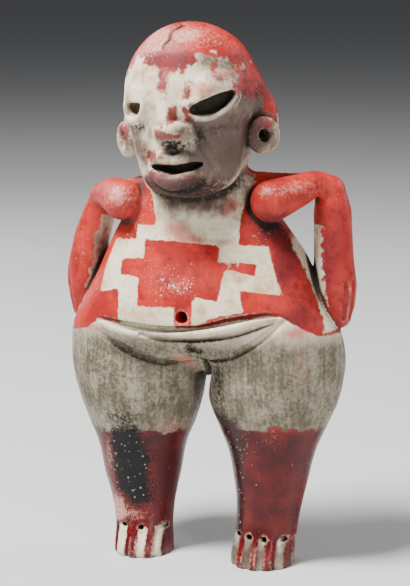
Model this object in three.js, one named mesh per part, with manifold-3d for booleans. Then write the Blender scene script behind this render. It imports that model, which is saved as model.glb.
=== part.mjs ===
// A standing woman of painted, burnished clay, 330 mm tall, modelled as one solid.
// Millimetres, +Z up. The figure faces -Y and its own left is +X. The origin is on the floor under its middle.
//
// The form is one signed distance field: a formula that is negative inside the clay. It is put together
// from limbs, rolls and pellets of clay that blend into each other, the way the figure was built by hand.
// A net of triangles is drawn over the field's surface, thinned to a budget, and cut flat at the soles.

import * as THREE from "three";
import { mergeVertices } from "three/addons/utils/BufferGeometryUtils.js";
import Module from "manifold-3d";

// Driving dimensions
const HEIGHT = 330;
const NECK_PIVOT = [0, -14, 241];
const HEAD_LEAN = -4.5;
const NOSE_X = -2.5;
const NOSE_TIP = [2.5, -57.5, 269.5];
const EYES = [
  { side: 1, inner: [12, 279.5], outer: [32, 288], open: [2, 4.2, 5, 4.4, 2] },
  { side: -1, inner: [17.5, 278.5], outer: [31.5, 280], open: [2.4, 4.8, 5.2, 4.6, 2.4] },
];
const EAR = { x: 43, y: -15, turn: 47, ring: 7.4, clay: 3.5, hole: 3.9 };
const EAR_Z = { left: 261, right: 263 };
const MOUTH_X = -1;
const MOUTH_HALF = 14.5;
const NAVEL = { x: -0.5, z: 156.5, radius: 3.8, deep: 12 };
const LEG_SPREAD = 43;
const FOOT_HALF = { left: 19.5, right: 18.2 };
const SOLE_ROUNDING = 5;

// How far shapes melt into each other, from broad masses down to crisp details
const SOFT = 8;
const FIRM = 4;
const CRISP = 1.5;

// The net's cell, and how many triangles are kept
const CELL = 2;
const TRIANGLES = 9400;

// Field shapes. Each is a function of x, y, z that gives a signed distance.

const { clamp, lerp, degToRad } = THREE.MathUtils;

function smoothMin(a, b, blend) {
  const share = Math.max(blend - Math.abs(a - b), 0) / blend;
  return Math.min(a, b) - (share * share * blend) / 4;
}

// Shapes that grow together, with a fillet about as wide as blend.
function join(blend, ...shapes) {
  return (x, y, z) => {
    let distance = shapes[0](x, y, z);
    for (let i = 1; i < shapes.length; i++) distance = smoothMin(distance, shapes[i](x, y, z), blend);
    return distance;
  };
}

// A shape with tools pressed into it, their rims rounded by blend.
function carve(blend, shape, ...tools) {
  return (x, y, z) => {
    let distance = shape(x, y, z);
    for (const tool of tools) distance = -smoothMin(-distance, tool(x, y, z), blend);
    return distance;
  };
}

function ellipsoid([cx, cy, cz], [rx, ry, rz]) {
  return (x, y, z) => {
    const u = (x - cx) / rx;
    const v = (y - cy) / ry;
    const w = (z - cz) / rz;
    const reach = Math.sqrt(u * u + v * v + w * w);
    const slope = Math.sqrt((u / rx) ** 2 + (v / ry) ** 2 + (w / rz) ** 2);
    return slope > 1e-9 ? (reach * (reach - 1)) / slope : -Math.min(rx, ry, rz);
  };
}

// A shape that is only worked out near a ball around it. Farther off the distance to the ball will do.
function within([cx, cy, cz], radius, shape) {
  return (x, y, z) => {
    const away = Math.hypot(x - cx, y - cy, z - cz) - radius;
    return away > 1.5 * SOFT ? away : shape(x, y, z);
  };
}

// A shape turned about a centre by angles in degrees about X, Y and Z.
function turned([cx, cy, cz], angles, shape) {
  const m = new THREE.Matrix4().makeRotationFromEuler(new THREE.Euler(...angles.map(degToRad))).elements;
  return (x, y, z) => {
    const dx = x - cx;
    const dy = y - cy;
    const dz = z - cz;
    return shape(
      cx + m[0] * dx + m[1] * dy + m[2] * dz,
      cy + m[4] * dx + m[5] * dy + m[6] * dz,
      cz + m[8] * dx + m[9] * dy + m[10] * dz,
    );
  };
}

// A roll of clay along a smooth line through points [x, y, z, radius].
function roll(points, pieces = 4 * (points.length - 1)) {
  const through = points.map(([x, y, z]) => new THREE.Vector3(x, y, z));
  const line = new THREE.CatmullRomCurve3(through, false, "centripetal");
  const spans = points.length - 1;
  const knots = [];
  for (let i = 0; i <= pieces; i++) {
    const at = (i / pieces) * spans;
    const span = Math.min(Math.floor(at), spans - 1);
    const radius = lerp(points[span][3], points[span + 1][3], at - span);
    knots.push([...line.getPoint(i / pieces), radius]);
  }
  const thickest = Math.max(...knots.map((knot) => knot[3]));
  const box = new THREE.Box3().setFromArray(knots.flatMap((knot) => knot.slice(0, 3)));
  const ball = box.getBoundingSphere(new THREE.Sphere());
  return within(ball.center.toArray(), ball.radius + thickest, (x, y, z) => {
    let distance = Infinity;
    for (let i = 0; i < pieces; i++) {
      const [ax, ay, az, ar] = knots[i];
      const [bx, by, bz, br] = knots[i + 1];
      const ux = bx - ax;
      const uy = by - ay;
      const uz = bz - az;
      const along = ux * (x - ax) + uy * (y - ay) + uz * (z - az);
      const t = clamp(along / (ux * ux + uy * uy + uz * uz), 0, 1);
      const dx = x - ax - t * ux;
      const dy = y - ay - t * uy;
      const dz = z - az - t * uz;
      distance = Math.min(distance, Math.sqrt(dx * dx + dy * dy + dz * dz) - ar - t * (br - ar));
    }
    return distance;
  });
}

// A smooth value between rows [at, ...values], as a table that is quick to read.
function smoothTable(rows, count = 240) {
  const low = rows[0][0];
  const high = rows.at(-1)[0];
  const table = [];
  for (let i = 0; i <= count; i++) {
    const at = lerp(low, high, i / count);
    let k = 0;
    while (k < rows.length - 2 && rows[k + 1][0] < at) k++;
    const [before, from, to, after] = [-1, 0, 1, 2].map((n) => rows[clamp(k + n, 0, rows.length - 1)]);
    const span = to[0] - from[0];
    const t = (at - from[0]) / span;
    table.push(from.slice(1).map((value, c) => {
      const leaving = ((to[c + 1] - before[c + 1]) / (to[0] - before[0])) * span;
      const arriving = ((after[c + 1] - value) / (after[0] - from[0])) * span;
      const rise = to[c + 1] - value;
      const bend = 3 * rise - 2 * leaving - arriving;
      const twist = leaving + arriving - 2 * rise;
      return value + t * (leaving + t * (bend + t * twist));
    }));
  }
  return { low, high, count, table };
}

// An upright limb with a rounded section at each height: [z, x, y, half width, front, back].
// The corner is 2 for an oval section and more for a squarer one.
function limb(rows, corner = 2, rounding = SOFT) {
  const { low, high, count, table } = smoothTable(rows);
  return (x, y, z) => {
    const at = clamp(((z - low) / (high - low)) * count, 0, count - 1e-6);
    const i = Math.floor(at);
    const t = at - i;
    const [ax, ay, awide, afront, aback] = table[i];
    const [bx, by, bwide, bfront, bback] = table[i + 1];
    const dx = Math.abs(x - lerp(ax, bx, t));
    const dy = y - lerp(ay, by, t);
    const wide = lerp(awide, bwide, t);
    const deep = dy < 0 ? lerp(afront, bfront, t) : lerp(aback, bback, t);
    const u = dx / wide;
    const v = Math.abs(dy) / deep;
    const sum = Math.pow(u, corner) + Math.pow(v, corner);
    const reach = Math.pow(sum, 1 / corner);
    const lean = Math.hypot(Math.pow(u, corner - 1) / wide, Math.pow(v, corner - 1) / deep);
    const slope = lean * Math.pow(sum + 1e-12, 1 / corner - 1);
    const across = (reach - 1) / Math.max(slope, 0.3 / Math.max(wide, deep));
    return -smoothMin(-across, Math.min(z - low, high - z), rounding);
  };
}

// The y where a shape's front is met at x and z, coming from well before it.
const BEFORE = -80;

function front(shape, x, z) {
  let y = BEFORE;
  while (y < 0) {
    const distance = shape(x, y, z);
    if (distance < 0.02) break;
    y += 0.7 * distance;
  }
  return y;
}

// Points [x, z, radius, sink] laid on a shape's front and sunk by a depth.
function laid(shape, points) {
  return points.map(([x, z, radius, sink]) => [x, front(shape, x, z) + sink, z, radius]);
}

const both = (make) => [-1, 1].map(make);

// Legs, thick at the thigh and running straight down into stub feet

function leg(side, foot, calf) {
  const x = side * LEG_SPREAD;
  return limb([
    [-4, x - side * 4, -3, foot, 21, 17],
    [5, x - side * 4, -3, foot, 22.5, 17.5],
    [17, x - side * 3, 0, foot - 0.4, 19.5, 17.5],
    [32, x - side * 2, 2, 19.8, 19.5, 18.5],
    [50, x - side, 3, 23.4 + calf, 23, 22],
    [68, x - side * 0.5, 4, 27.2 + calf, 27, 26],
    [84, x - side * 0.5, 4, 33.5 + calf, 31, 30],
    [101, x, 4, 39.2, 36, 34],
    [118, x + side * 1.2, 4, 42, 38, 36],
    [130, x + side * 1.2, 4, 42.6, 37, 36],
    [148, x - side * 2, 4, 34, 28, 32],
    [162, x - side * 8, 4, 22, 16, 20],
  ], 2.1, SOLE_ROUNDING);
}
const rightLeg = leg(-1, FOOT_HALF.right, 0.5);
const leftLeg = leg(1, FOOT_HALF.left, -1);

// Trunk, from the broad hips up to the neck

const trunk = limb([
  [117, 0, 8, 26, 14, 20],
  [124.5, 0, 5, 56, 25, 28],
  [132, 0, 2, 82, 36.5, 37],
  [141, 0, 1, 85.5, 41, 38],
  [151, 0, 0, 81.5, 42.5, 36],
  [162, 0, 0, 75.5, 42, 33.5],
  [173, 0.5, 0, 70, 39.5, 31],
  [183, 1, 0, 66, 36, 29.5],
  [193, 1, -1, 61.5, 32, 28],
  [204, 0, -2, 55, 28, 26],
  [216, -1, -3, 47, 25, 24],
  [228, -2, -5, 37, 20, 23],
  [240, -3, -8, 31, 16, 24],
  [256, -3, -10, 30, 16, 26],
], 2.4, 12);

const buttocks = join(SOFT, ...both((side) => ellipsoid([side * 35, 18, 134], [38, 24, 29])));
const shoulders = roll([
  [-60, 3, 223, 8], [-34, 0, 225, 12], [0, -3, 228, 13],
  [36, 0, 229, 12], [54, 3, 232.5, 8], [66, 4, 235, 6.5],
]);
const legs = (x, y, z) => Math.min(rightLeg(x, y, z), leftLeg(x, y, z));
const body = join(SOFT, trunk, legs, buttocks, shoulders);

// Shoulder lobes laid over the chest, running out and down into the arms, and hands on the hips

const leftArm = join(
  CRISP,
  roll([[48, -19, 226, 12.5], [60, -10, 231, 10], [70, -1, 235, 7.5], [77, 5, 231, 8.5]]),
  roll([
    [77, 5, 231, 8.5], [78.5, 6, 217, 11.2], [79.2, 6, 200, 11.8], [80, 6, 186, 12],
    [81.5, 6, 173, 12], [82.5, 6, 163, 10.5], [84, 5, 155, 7],
  ]),
);
const rightArm = join(
  CRISP,
  roll([[-46, -19, 223, 12.5], [-57, -9, 224.5, 10], [-67, 3, 222, 8.5]]),
  roll([
    [-67, 3, 222, 8.5], [-72, 6, 209, 10.5], [-76, 6, 197, 11.2], [-79, 6, 183, 11.5],
    [-81.5, 6, 170, 11.5], [-82, 6, 160, 10], [-82.5, 5, 151, 7],
  ]),
);

// Fingers, parted by grooves down the outside of each hand. An angle runs from straight out towards the
// back. Each groove is laid on the hand at three heights, coming in from outside it.
const FINGER_ANGLES = [-50, -20, 10, 40];
const FINGER_HEIGHTS = [12, 0, -10];
const FINGER_GROOVE = 1.1;
const HANDS = [
  { arm: leftArm, side: 1, x: 82.5, y: 6, z: 165 },
  { arm: rightArm, side: -1, x: -82, y: 6, z: 162 },
];

function fingerGrooves({ arm, side, x, y, z }) {
  return FINGER_ANGLES.map((angle) => {
    const out = side * Math.cos(degToRad(angle));
    const back = Math.sin(degToRad(angle));
    return roll(FINGER_HEIGHTS.map((up) => {
      let away = 20;
      while (arm(x + out * away, y + back * away, z + up) > 0.3) away -= 0.2;
      return [x + out * away, y + back * away, z + up, FINGER_GROOVE];
    }));
  });
}
const arms = carve(1, join(CRISP, leftArm, rightArm), ...HANDS.flatMap(fingerGrooves));

// Belly fold: a crease under the overhanging belly, a thin roll below it, and a crease over the thighs.
// Each line is points [x, z, radius, sink], and runs out to nothing at its ends.

const UNDER_BELLY = [
  [-55, 153, 1.5, -1.8], [-46, 150.5, 2, -0.4], [-30, 147.8, 2.4, 0.2], [-12, 146, 2.6, 0.3],
  [14, 148, 2.6, 0.3], [38, 153, 2.2, 0], [54, 156.5, 1.8, -0.6], [62, 157.5, 1.5, -1.8],
];
const OVER_THIGHS = [
  [-52, 147, 1.5, -1.8], [-45, 142, 2, -0.5], [-34, 135, 2.6, 0.2], [-18, 128.5, 3, 0.3], [-2, 128, 3, 0.3],
  [9, 132, 3, 0.3], [20, 130.5, 2.8, 0.3], [40, 140, 2.4, 0], [54, 150, 1.8, -0.8], [61, 155.5, 1.5, -1.8],
];
const FOLD_ROLL = [
  [-50, 148.5, 1, 1.5], [-40, 146, 1.8, 0.8], [-22, 142.5, 2, 0.8],
  [8, 143.5, 2.2, 0.8], [36, 149, 2, 0.8], [57, 155, 1, 1.5],
];
const notch = roll([[8, -40, 134, 2.2], [6, -28, 128, 2.8], [3, -14, 120, 3], [1, 2, 112, 3.2]]);
const pit = roll([[8, -42, 139.5, 2.6], [8, -34, 140.5, 2.2]], 1);

const belly = carve(
  CRISP,
  join(CRISP, body, roll(laid(body, FOLD_ROLL))),
  roll(laid(body, UNDER_BELLY)),
  roll(laid(body, OVER_THIGHS)),
  notch,
  pit,
);

const navelY = front(body, NAVEL.x, NAVEL.z);
const navel = roll([
  [NAVEL.x, navelY - NAVEL.radius, NAVEL.z, NAVEL.radius],
  [NAVEL.x, navelY + NAVEL.deep, NAVEL.z + 2, NAVEL.radius],
], 1);

// Toes, parted by grooves down the front of each foot. A groove's rows are [z, radius, sink].

const TOE_GROOVES = [-14, -5, 4, 13];
const TOE_GROOVE = [[18, 1.7, -0.6], [10, 1.8, -0.5], [3, 1.8, -0.4], [0.5, 1.8, 0]];
const FOOT_X = 39;

function toeGrooves(foot, middle) {
  return TOE_GROOVES.map((across) => {
    const line = TOE_GROOVE.map(([z, radius, sink]) => [middle + across, z, radius, sink]);
    return roll(laid(foot, line), 4);
  });
}
const toes = [...toeGrooves(rightLeg, -FOOT_X), ...toeGrooves(leftLeg, FOOT_X)];

// Head, shaped upright and then leaned as one. A broad hood of hair flares out behind the ears.

const HOOD_EDGE = [[20, -2, 305, 10], [30, -2, 293, 9], [39.5, -2, 279, 8], [41, -2, 262, 6.5]];
const hood = (side) => roll(HOOD_EDGE.map(([x, ...rest]) => [side * x, ...rest]));
const skull = join(
  SOFT,
  ellipsoid([0, -13, 286], [40, 40.5, 44.5]),
  limb([
    [238, 0, -18, 26, 26, 24],
    [246, 0, -16, 31, 31, 26],
    [256, 0, -16, 34, 34, 30],
    [268, 0, -15, 35.5, 35.5, 34],
    [284, 0, -14, 36, 37.5, 36],
    [300, 0, -13, 32, 34, 34],
  ], 2.5, 10),
  ellipsoid([0, -27, 241], [27, 22.5, 13.8]),
  ...both(hood),
);

function ear(side, z) {
  const { x, y, turn, ring, clay, hole } = EAR;
  const spool = (px, py, pz) => {
    const across = Math.hypot(px - side * x, pz - z);
    const wreath = Math.hypot(across - ring, py - y) - clay;
    const plate = Math.max(across - ring, Math.abs(py - y - 2) - 2.5);
    return Math.max(smoothMin(wreath, plate, 1), Math.min(hole - across, y + 2 - py));
  };
  return turned([side * x, y, z], [0, 0, side * turn], spool);
}

const nose = join(
  FIRM,
  roll([[NOSE_X - 1, -49, 297, 4], [NOSE_X - 1, -52, 286, 4.2], [NOSE_X + 1, -54.5, 276, 4.8]]),
  ellipsoid(NOSE_TIP, [6.6, 6.5, 5.8]),
  ...both((side) => ellipsoid([NOSE_X + 1 + side * 6.8, -51.5, 265 - side], [4.6, 5.5, 4.6])),
);
const nostrils = both((side) => {
  const x = NOSE_X + 1.5 + side * 4;
  return roll([[x, -54.5, 257, 2], [x, -51, 263.5, 2]], 1);
});

// The mouth is a slit between a thin upper and a thick lower lip. Each line is its end, its quarter and its
// middle as points [across, y, z, radius], and is mirrored.
function lipLine(...half) {
  const sides = both((side) => half.map(([across, ...rest]) => [MOUTH_X + side * across, ...rest]));
  return roll([...sides[0], ...sides[1].slice(0, -1).reverse()]);
}
const lips = join(
  CRISP,
  lipLine([MOUTH_HALF + 1, -41, 249, 2.2], [7.5, -47.5, 252, 2.7], [0, -49.5, 250.8, 2.7]),
  lipLine([MOUTH_HALF + 1, -41, 247, 2.4], [8, -47.5, 241.5, 3.8], [0, -50, 239.6, 4.4]),
);
const mouth = lipLine([MOUTH_HALF, -44.5, 248.4, 1.5], [8, -48.5, 247.2, 2.2], [0, -50.5, 246, 2.7]);

// An eye is a leaf-shaped hollow with a soft brow over it and a rolled lid under it. Each is a line from the
// eye's inner to its outer corner, bowed up by a lift, with one radius for each quarter of the way.
function alongEye({ side, inner, outer }, lift, sink, radii) {
  const line = radii.map((radius, i) => {
    const t = i / (radii.length - 1);
    const bow = lift * Math.sin(Math.PI * (0.08 + 0.84 * t));
    return [side * lerp(inner[0], outer[0], t), lerp(inner[1], outer[1], t) + bow, radius, sink];
  });
  return roll(laid(skull, line));
}
const eyeHollows = EYES.map((eye) => alongEye(eye, 0, 0.5, eye.open));
const lids = EYES.map((eye) => alongEye(eye, -6.5, 0.5, [1.5, 1.9, 2.1, 1.8, 1.2]));
const brows = EYES.map((eye) => alongEye(eye, 9, 3, [4.2, 4.8, 4.6, 3.6, 2.4]));

const face = join(FIRM, join(SOFT, skull, ...brows), nose, lips);
const open = carve(CRISP, join(CRISP, carve(CRISP, face, ...eyeHollows), ...lids), mouth, ...nostrils);
const upright = join(CRISP, open, ear(1, EAR_Z.left), ear(-1, EAR_Z.right));
const head = within([-4, -14, 280], 66, turned(NECK_PIVOT, [0, HEAD_LEAN, 0], upright));

const field = carve(1, join(FIRM, carve(CRISP, belly, ...toes), arms, head), navel);

// Calls a function with every i, j, k from one corner of a block of cells up to the other.
function forBlock([i0, j0, k0], [i1, j1, k1], step, visit) {
  for (let k = k0; k < k1; k += step) {
    for (let j = j0; j < j1; j += step) {
      for (let i = i0; i < i1; i += step) visit(i, j, k);
    }
  }
}

// Draws a net of quads over the field's surface: one point in each cell that the surface crosses.
function surfaceNet(low, high, cell) {
  const block = 4;
  const size = [0, 1, 2].map((axis) => Math.ceil((high[axis] - low[axis]) / cell / block) * block);
  const [nx, ny, nz] = size;
  const stride = [1, nx, nx * ny];
  const values = new Float32Array(nx * ny * nz);
  const indexOf = (i, j, k) => i + j * stride[1] + k * stride[2];

  // Blocks of cells that are far from the surface take one value throughout.
  const far = block * cell * 1.5;
  forBlock([0, 0, 0], size, block, (bi, bj, bk) => {
    const middle = field(...[bi, bj, bk].map((b, axis) => low[axis] + (b + block / 2) * cell));
    const near = Math.abs(middle) < far;
    forBlock([bi, bj, bk], [bi + block, bj + block, bk + block], 1, (i, j, k) => {
      const at = [i, j, k].map((index, axis) => low[axis] + index * cell);
      values[indexOf(i, j, k)] = near ? field(...at) : middle;
    });
  });

  // A cell's eight corners, and its twelve edges as pairs of corners whose numbers differ by one bit.
  const corners = [0, 1, 2, 3, 4, 5, 6, 7].map((n) => [n & 1, (n >> 1) & 1, n >> 2]);
  const offsets = corners.map((corner) => indexOf(...corner));
  const edges = [1, 2, 4].flatMap((bit) => {
    const starts = corners.map((_, n) => n).filter((n) => !(n & bit));
    return starts.map((n) => [n, n | bit]);
  });

  // Which corners of a cell are inside, as the bits of a number.
  function pattern(here) {
    return offsets.reduce((bits, offset, n) => bits | (values[here + offset] < 0 ? 1 << n : 0), 0);
  }

  // Whether the corners in a pattern hold together along the cell's edges.
  function holdsTogether(bits) {
    const joined = edges.filter(([a, b]) => (bits >> a) & (bits >> b) & 1);
    let reached = bits & -bits;
    for (let round = 0; round < 8; round++) {
      for (const [a, b] of joined) {
        if (((reached >> a) | (reached >> b)) & 1) reached |= (1 << a) | (1 << b);
      }
    }
    return reached === bits;
  }

  // The surface crosses a cell once if its inside corners hold together, and its outside corners too.
  const crossedOnce = Array.from({ length: 256 }, (_, bits) => {
    return holdsTogether(bits) && holdsTogether(255 - bits);
  });

  // A cell that it crosses twice is filled corner by corner, so that the net stays one closed skin.
  const lastCell = values.length - 1 - offsets[7];
  for (let mended = 1; mended > 0;) {
    mended = 0;
    for (let here = 0; here <= lastCell; here++) {
      while (!crossedOnce[pattern(here)]) {
        const outside = offsets.map((offset) => here + offset).filter((index) => values[index] >= 0);
        const nearest = outside.reduce((best, index) => (values[index] < values[best] ? index : best));
        values[nearest] = -0.1 * cell;
        mended++;
      }
    }
  }

  // The point of a cell is the mean of the places where the surface crosses its edges.
  const lastCorner = size.map((count) => count - 1);
  const points = [];
  const pointIn = new Int32Array(values.length).fill(-1);
  forBlock([0, 0, 0], lastCorner, 1, (i, j, k) => {
    const here = indexOf(i, j, k);
    const at = offsets.map((offset) => values[here + offset]);
    const crossed = edges.filter(([a, b]) => at[a] < 0 !== at[b] < 0);
    if (!crossed.length) return;
    const mean = [0, 1, 2].map((axis) => {
      const places = crossed.map(([a, b]) => {
        const t = at[a] / (at[a] - at[b]);
        return lerp(corners[a][axis], corners[b][axis], t);
      });
      return places.reduce((sum, place) => sum + place, 0) / places.length;
    });
    pointIn[here] = points.length;
    points.push([i, j, k].map((index, axis) => low[axis] + cell * (index + mean[axis])));
  });

  // Each crossed edge of the grid gets a quad between the points of the four cells around it.
  const triangles = [];
  forBlock([1, 1, 1], lastCorner, 1, (i, j, k) => {
    const here = indexOf(i, j, k);
    const inside = values[here] < 0;
    for (let axis = 0; axis < 3; axis++) {
      if (inside === values[here + stride[axis]] < 0) continue;
      const [u, v] = [stride[(axis + 1) % 3], stride[(axis + 2) % 3]];
      const quad = [here - u - v, here - v, here, here - u].map((index) => pointIn[index]);
      if (!inside) quad.reverse();
      triangles.push([quad[0], quad[1], quad[2]], [quad[0], quad[2], quad[3]]);
    }
  });
  return { points, triangles };
}

// Moves each point along the field's slope onto the surface.
function settle(points) {
  const reach = 0.2;
  for (const p of points) {
    const [x, y, z] = p;
    const slope = [
      field(x + reach, y, z) - field(x - reach, y, z),
      field(x, y + reach, z) - field(x, y - reach, z),
      field(x, y, z + reach) - field(x, y, z - reach),
    ].map((difference) => difference / (2 * reach));
    const steepness = slope[0] ** 2 + slope[1] ** 2 + slope[2] ** 2;
    const move = clamp(field(x, y, z) / Math.max(steepness, 0.3), -CELL / 3, CELL / 3);
    for (let axis = 0; axis < 3; axis++) p[axis] -= move * slope[axis];
  }
}

// A heap that gives back its cheapest entry first. An entry is an array that starts with its cost.
class Heap {
  entries = [];

  push(entry) {
    const { entries } = this;
    let at = entries.push(entry) - 1;
    while (at > 0) {
      const parent = (at - 1) >> 1;
      if (entries[parent][0] <= entries[at][0]) return;
      [entries[parent], entries[at]] = [entries[at], entries[parent]];
      at = parent;
    }
  }

  pop() {
    const { entries } = this;
    const cheapest = entries[0];
    const last = entries.pop();
    if (entries.length) {
      entries[0] = last;
      let at = 0;
      for (;;) {
        let child = 2 * at + 1;
        if (child >= entries.length) break;
        if (child + 1 < entries.length && entries[child + 1][0] < entries[child][0]) child++;
        if (entries[at][0] <= entries[child][0]) break;
        [entries[at], entries[child]] = [entries[child], entries[at]];
        at = child;
      }
    }
    return cheapest;
  }
}

const minus = (a, b) => [a[0] - b[0], a[1] - b[1], a[2] - b[2]];
const dot = (a, b) => a[0] * b[0] + a[1] * b[1] + a[2] * b[2];
const cross = (a, b) => [a[1] * b[2] - a[2] * b[1], a[2] * b[0] - a[0] * b[2], a[0] * b[1] - a[1] * b[0]];

// Thins a closed net by folding its edges away, the flattest first, until a number of triangles is left.
function thin({ points, triangles }, budget) {
  const around = points.map(() => new Set());
  triangles.forEach((corners, index) => corners.forEach((point) => around[point].add(index)));

  // Each point carries a quadric: the sum of squared distances to the planes that met there, by area.
  // It is kept as the six terms of a symmetric matrix, the three of a vector, and a constant.
  const quadrics = points.map(() => new Float64Array(10));
  for (const corners of triangles) {
    const [a, b, c] = corners.map((point) => points[point]);
    const normal = cross(minus(b, a), minus(c, a));
    const size = Math.hypot(...normal) + 1e-12;
    const [nx, ny, nz] = normal.map((part) => part / size);
    const offset = -(nx * a[0] + ny * a[1] + nz * a[2]);
    const matrix = [nx * nx, nx * ny, nx * nz, ny * ny, ny * nz, nz * nz];
    const terms = [...matrix, nx * offset, ny * offset, nz * offset, offset * offset];
    for (const point of corners) {
      terms.forEach((term, i) => { quadrics[point][i] += term * size; });
    }
  }

  // The best place for two points folded into one, and the cost of it.
  function fold(a, b) {
    const q = quadrics[a].map((term, i) => term + quadrics[b][i]);
    const middle = points[a].map((part, axis) => (part + points[b][axis]) / 2);
    const pull = 0.002 * (q[0] + q[3] + q[5]) + 1e-9;
    const [xx, xy, xz, yy, yz, zz] = [q[0] + pull, q[1], q[2], q[3] + pull, q[4], q[5] + pull];
    const goal = [0, 1, 2].map((axis) => pull * middle[axis] - q[6 + axis]);
    const rows = [[xx, xy, xz], [xy, yy, yz], [xz, yz, zz]];
    const [c0, c1, c2] = [cross(rows[1], rows[2]), cross(rows[2], rows[0]), cross(rows[0], rows[1])];
    const size = dot(rows[0], c0);
    const [x, y, z] = [0, 1, 2].map((axis) => dot([c0[axis], c1[axis], c2[axis]], goal) / size);
    const miss = q[0] * x * x + q[3] * y * y + q[5] * z * z + q[9]
      + 2 * (q[1] * x * y + q[2] * x * z + q[4] * y * z + q[6] * x + q[7] * y + q[8] * z);
    const length = Math.hypot(...minus(points[a], points[b]));
    return { place: [x, y, z], cost: Math.max(miss, 0) + 1e-4 * length ** 4 };
  }

  function neighbours(point) {
    const found = new Set([...around[point]].flatMap((index) => triangles[index]));
    found.delete(point);
    return found;
  }

  // A triangle may turn a little when its corner moves, but not over, and it may not become a sliver.
  function staysSound(point, other, place) {
    for (const index of around[point]) {
      const corners = triangles[index];
      if (corners.includes(other)) continue;
      const before = corners.map((corner) => points[corner]);
      const after = corners.map((corner) => (corner === point ? place : points[corner]));
      const [old, now] = [before, after].map(([a, b, c]) => cross(minus(b, a), minus(c, a)));
      const [oldSize, nowSize] = [Math.hypot(...old), Math.hypot(...now)];
      if (dot(old, now) < 0.4 * oldSize * nowSize) return false;
      const longest = Math.max(...[0, 1, 2].map((i) => Math.hypot(...minus(after[i], after[(i + 1) % 3]))));
      if (nowSize < 0.12 * longest * longest) return false;
    }
    return true;
  }

  const age = new Int32Array(points.length);
  const heap = new Heap();
  const offer = (a, b) => heap.push([fold(a, b).cost, a, b, age[a], age[b]]);
  points.forEach((_, point) => {
    [...neighbours(point)].filter((other) => other > point).forEach((other) => offer(point, other));
  });

  let left = triangles.length;
  while (left > budget && heap.entries.length) {
    const [, a, b, ageA, ageB] = heap.pop();
    if (age[a] !== ageA || age[b] !== ageB) continue;
    const [nearA, nearB] = [neighbours(a), neighbours(b)];
    if ([...nearA].filter((point) => nearB.has(point)).length !== 2) continue;
    const { place } = fold(a, b);
    if (!staysSound(a, b, place) || !staysSound(b, a, place)) continue;
    for (const index of around[b]) {
      if (triangles[index].includes(a)) {
        triangles[index].forEach((corner) => { if (corner !== b) around[corner].delete(index); });
        triangles[index] = null;
        left--;
      } else {
        triangles[index] = triangles[index].map((corner) => (corner === b ? a : corner));
        around[a].add(index);
      }
    }
    around[b] = null;
    points[a] = place;
    quadrics[b].forEach((term, i) => { quadrics[a][i] += term; });
    age[a]++;
    age[b] = -1;
    neighbours(a).forEach((other) => offer(a, other));
  }
  return { points, triangles: triangles.filter((corners) => corners) };
}

const net = surfaceNet([-108, -76, -10], [108, 60, HEIGHT + 8], CELL);
settle(net.points);
const { points, triangles } = thin(net, TRIANGLES);

// Soles: everything below the floor is cut away, so that both feet stand flat on it.

const kernel = await Module();
kernel.setup();

function toSolid(geometry) {
  const merged = mergeVertices(geometry.deleteAttribute("uv").deleteAttribute("normal"), 1e-4);
  return new kernel.Manifold(new kernel.Mesh({
    numProp: 3,
    vertProperties: merged.attributes.position.array,
    triVerts: Uint32Array.from(merged.index.array),
  }));
}

const grown = new THREE.BufferGeometry()
  .setAttribute("position", new THREE.Float32BufferAttribute(points.flat(), 3))
  .setIndex(triangles.flat());
const underFloor = new THREE.BoxGeometry(300, 300, 40).translate(0, 0, -20);
const standing = toSolid(grown).subtract(toSolid(underFloor)).getMesh();

const geometry = new THREE.BufferGeometry()
  .setAttribute("position", new THREE.BufferAttribute(standing.vertProperties, 3))
  .setIndex(new THREE.BufferAttribute(standing.triVerts, 1));

// The origin is moved under the middle of the figure's outermost extents, and the crown to its height.
geometry.computeBoundingBox();
const { min, max } = geometry.boundingBox;
const scale = HEIGHT / max.z;
geometry.translate(-(min.x + max.x) / 2, -(min.y + max.y) / 2, 0).scale(scale, scale, scale);

const clay = new THREE.MeshStandardMaterial({ color: 0xb5382c, roughness: 0.45, metalness: 0 });
const figurine = new THREE.Mesh(geometry, clay);
figurine.name = "figurine";

export default new THREE.Group().add(figurine);
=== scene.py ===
# A standing woman of painted, burnished clay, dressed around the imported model.
#
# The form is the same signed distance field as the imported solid's, in millimetres, with finer relief added:
# cracks, pricked holes, finger joints and the unevenness of handwork. A fine net is drawn over it and scaled
# into the model's box. The paint is worked out per point as distances to the painted outlines, which the
# material sharpens and wears away with noise.

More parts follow.
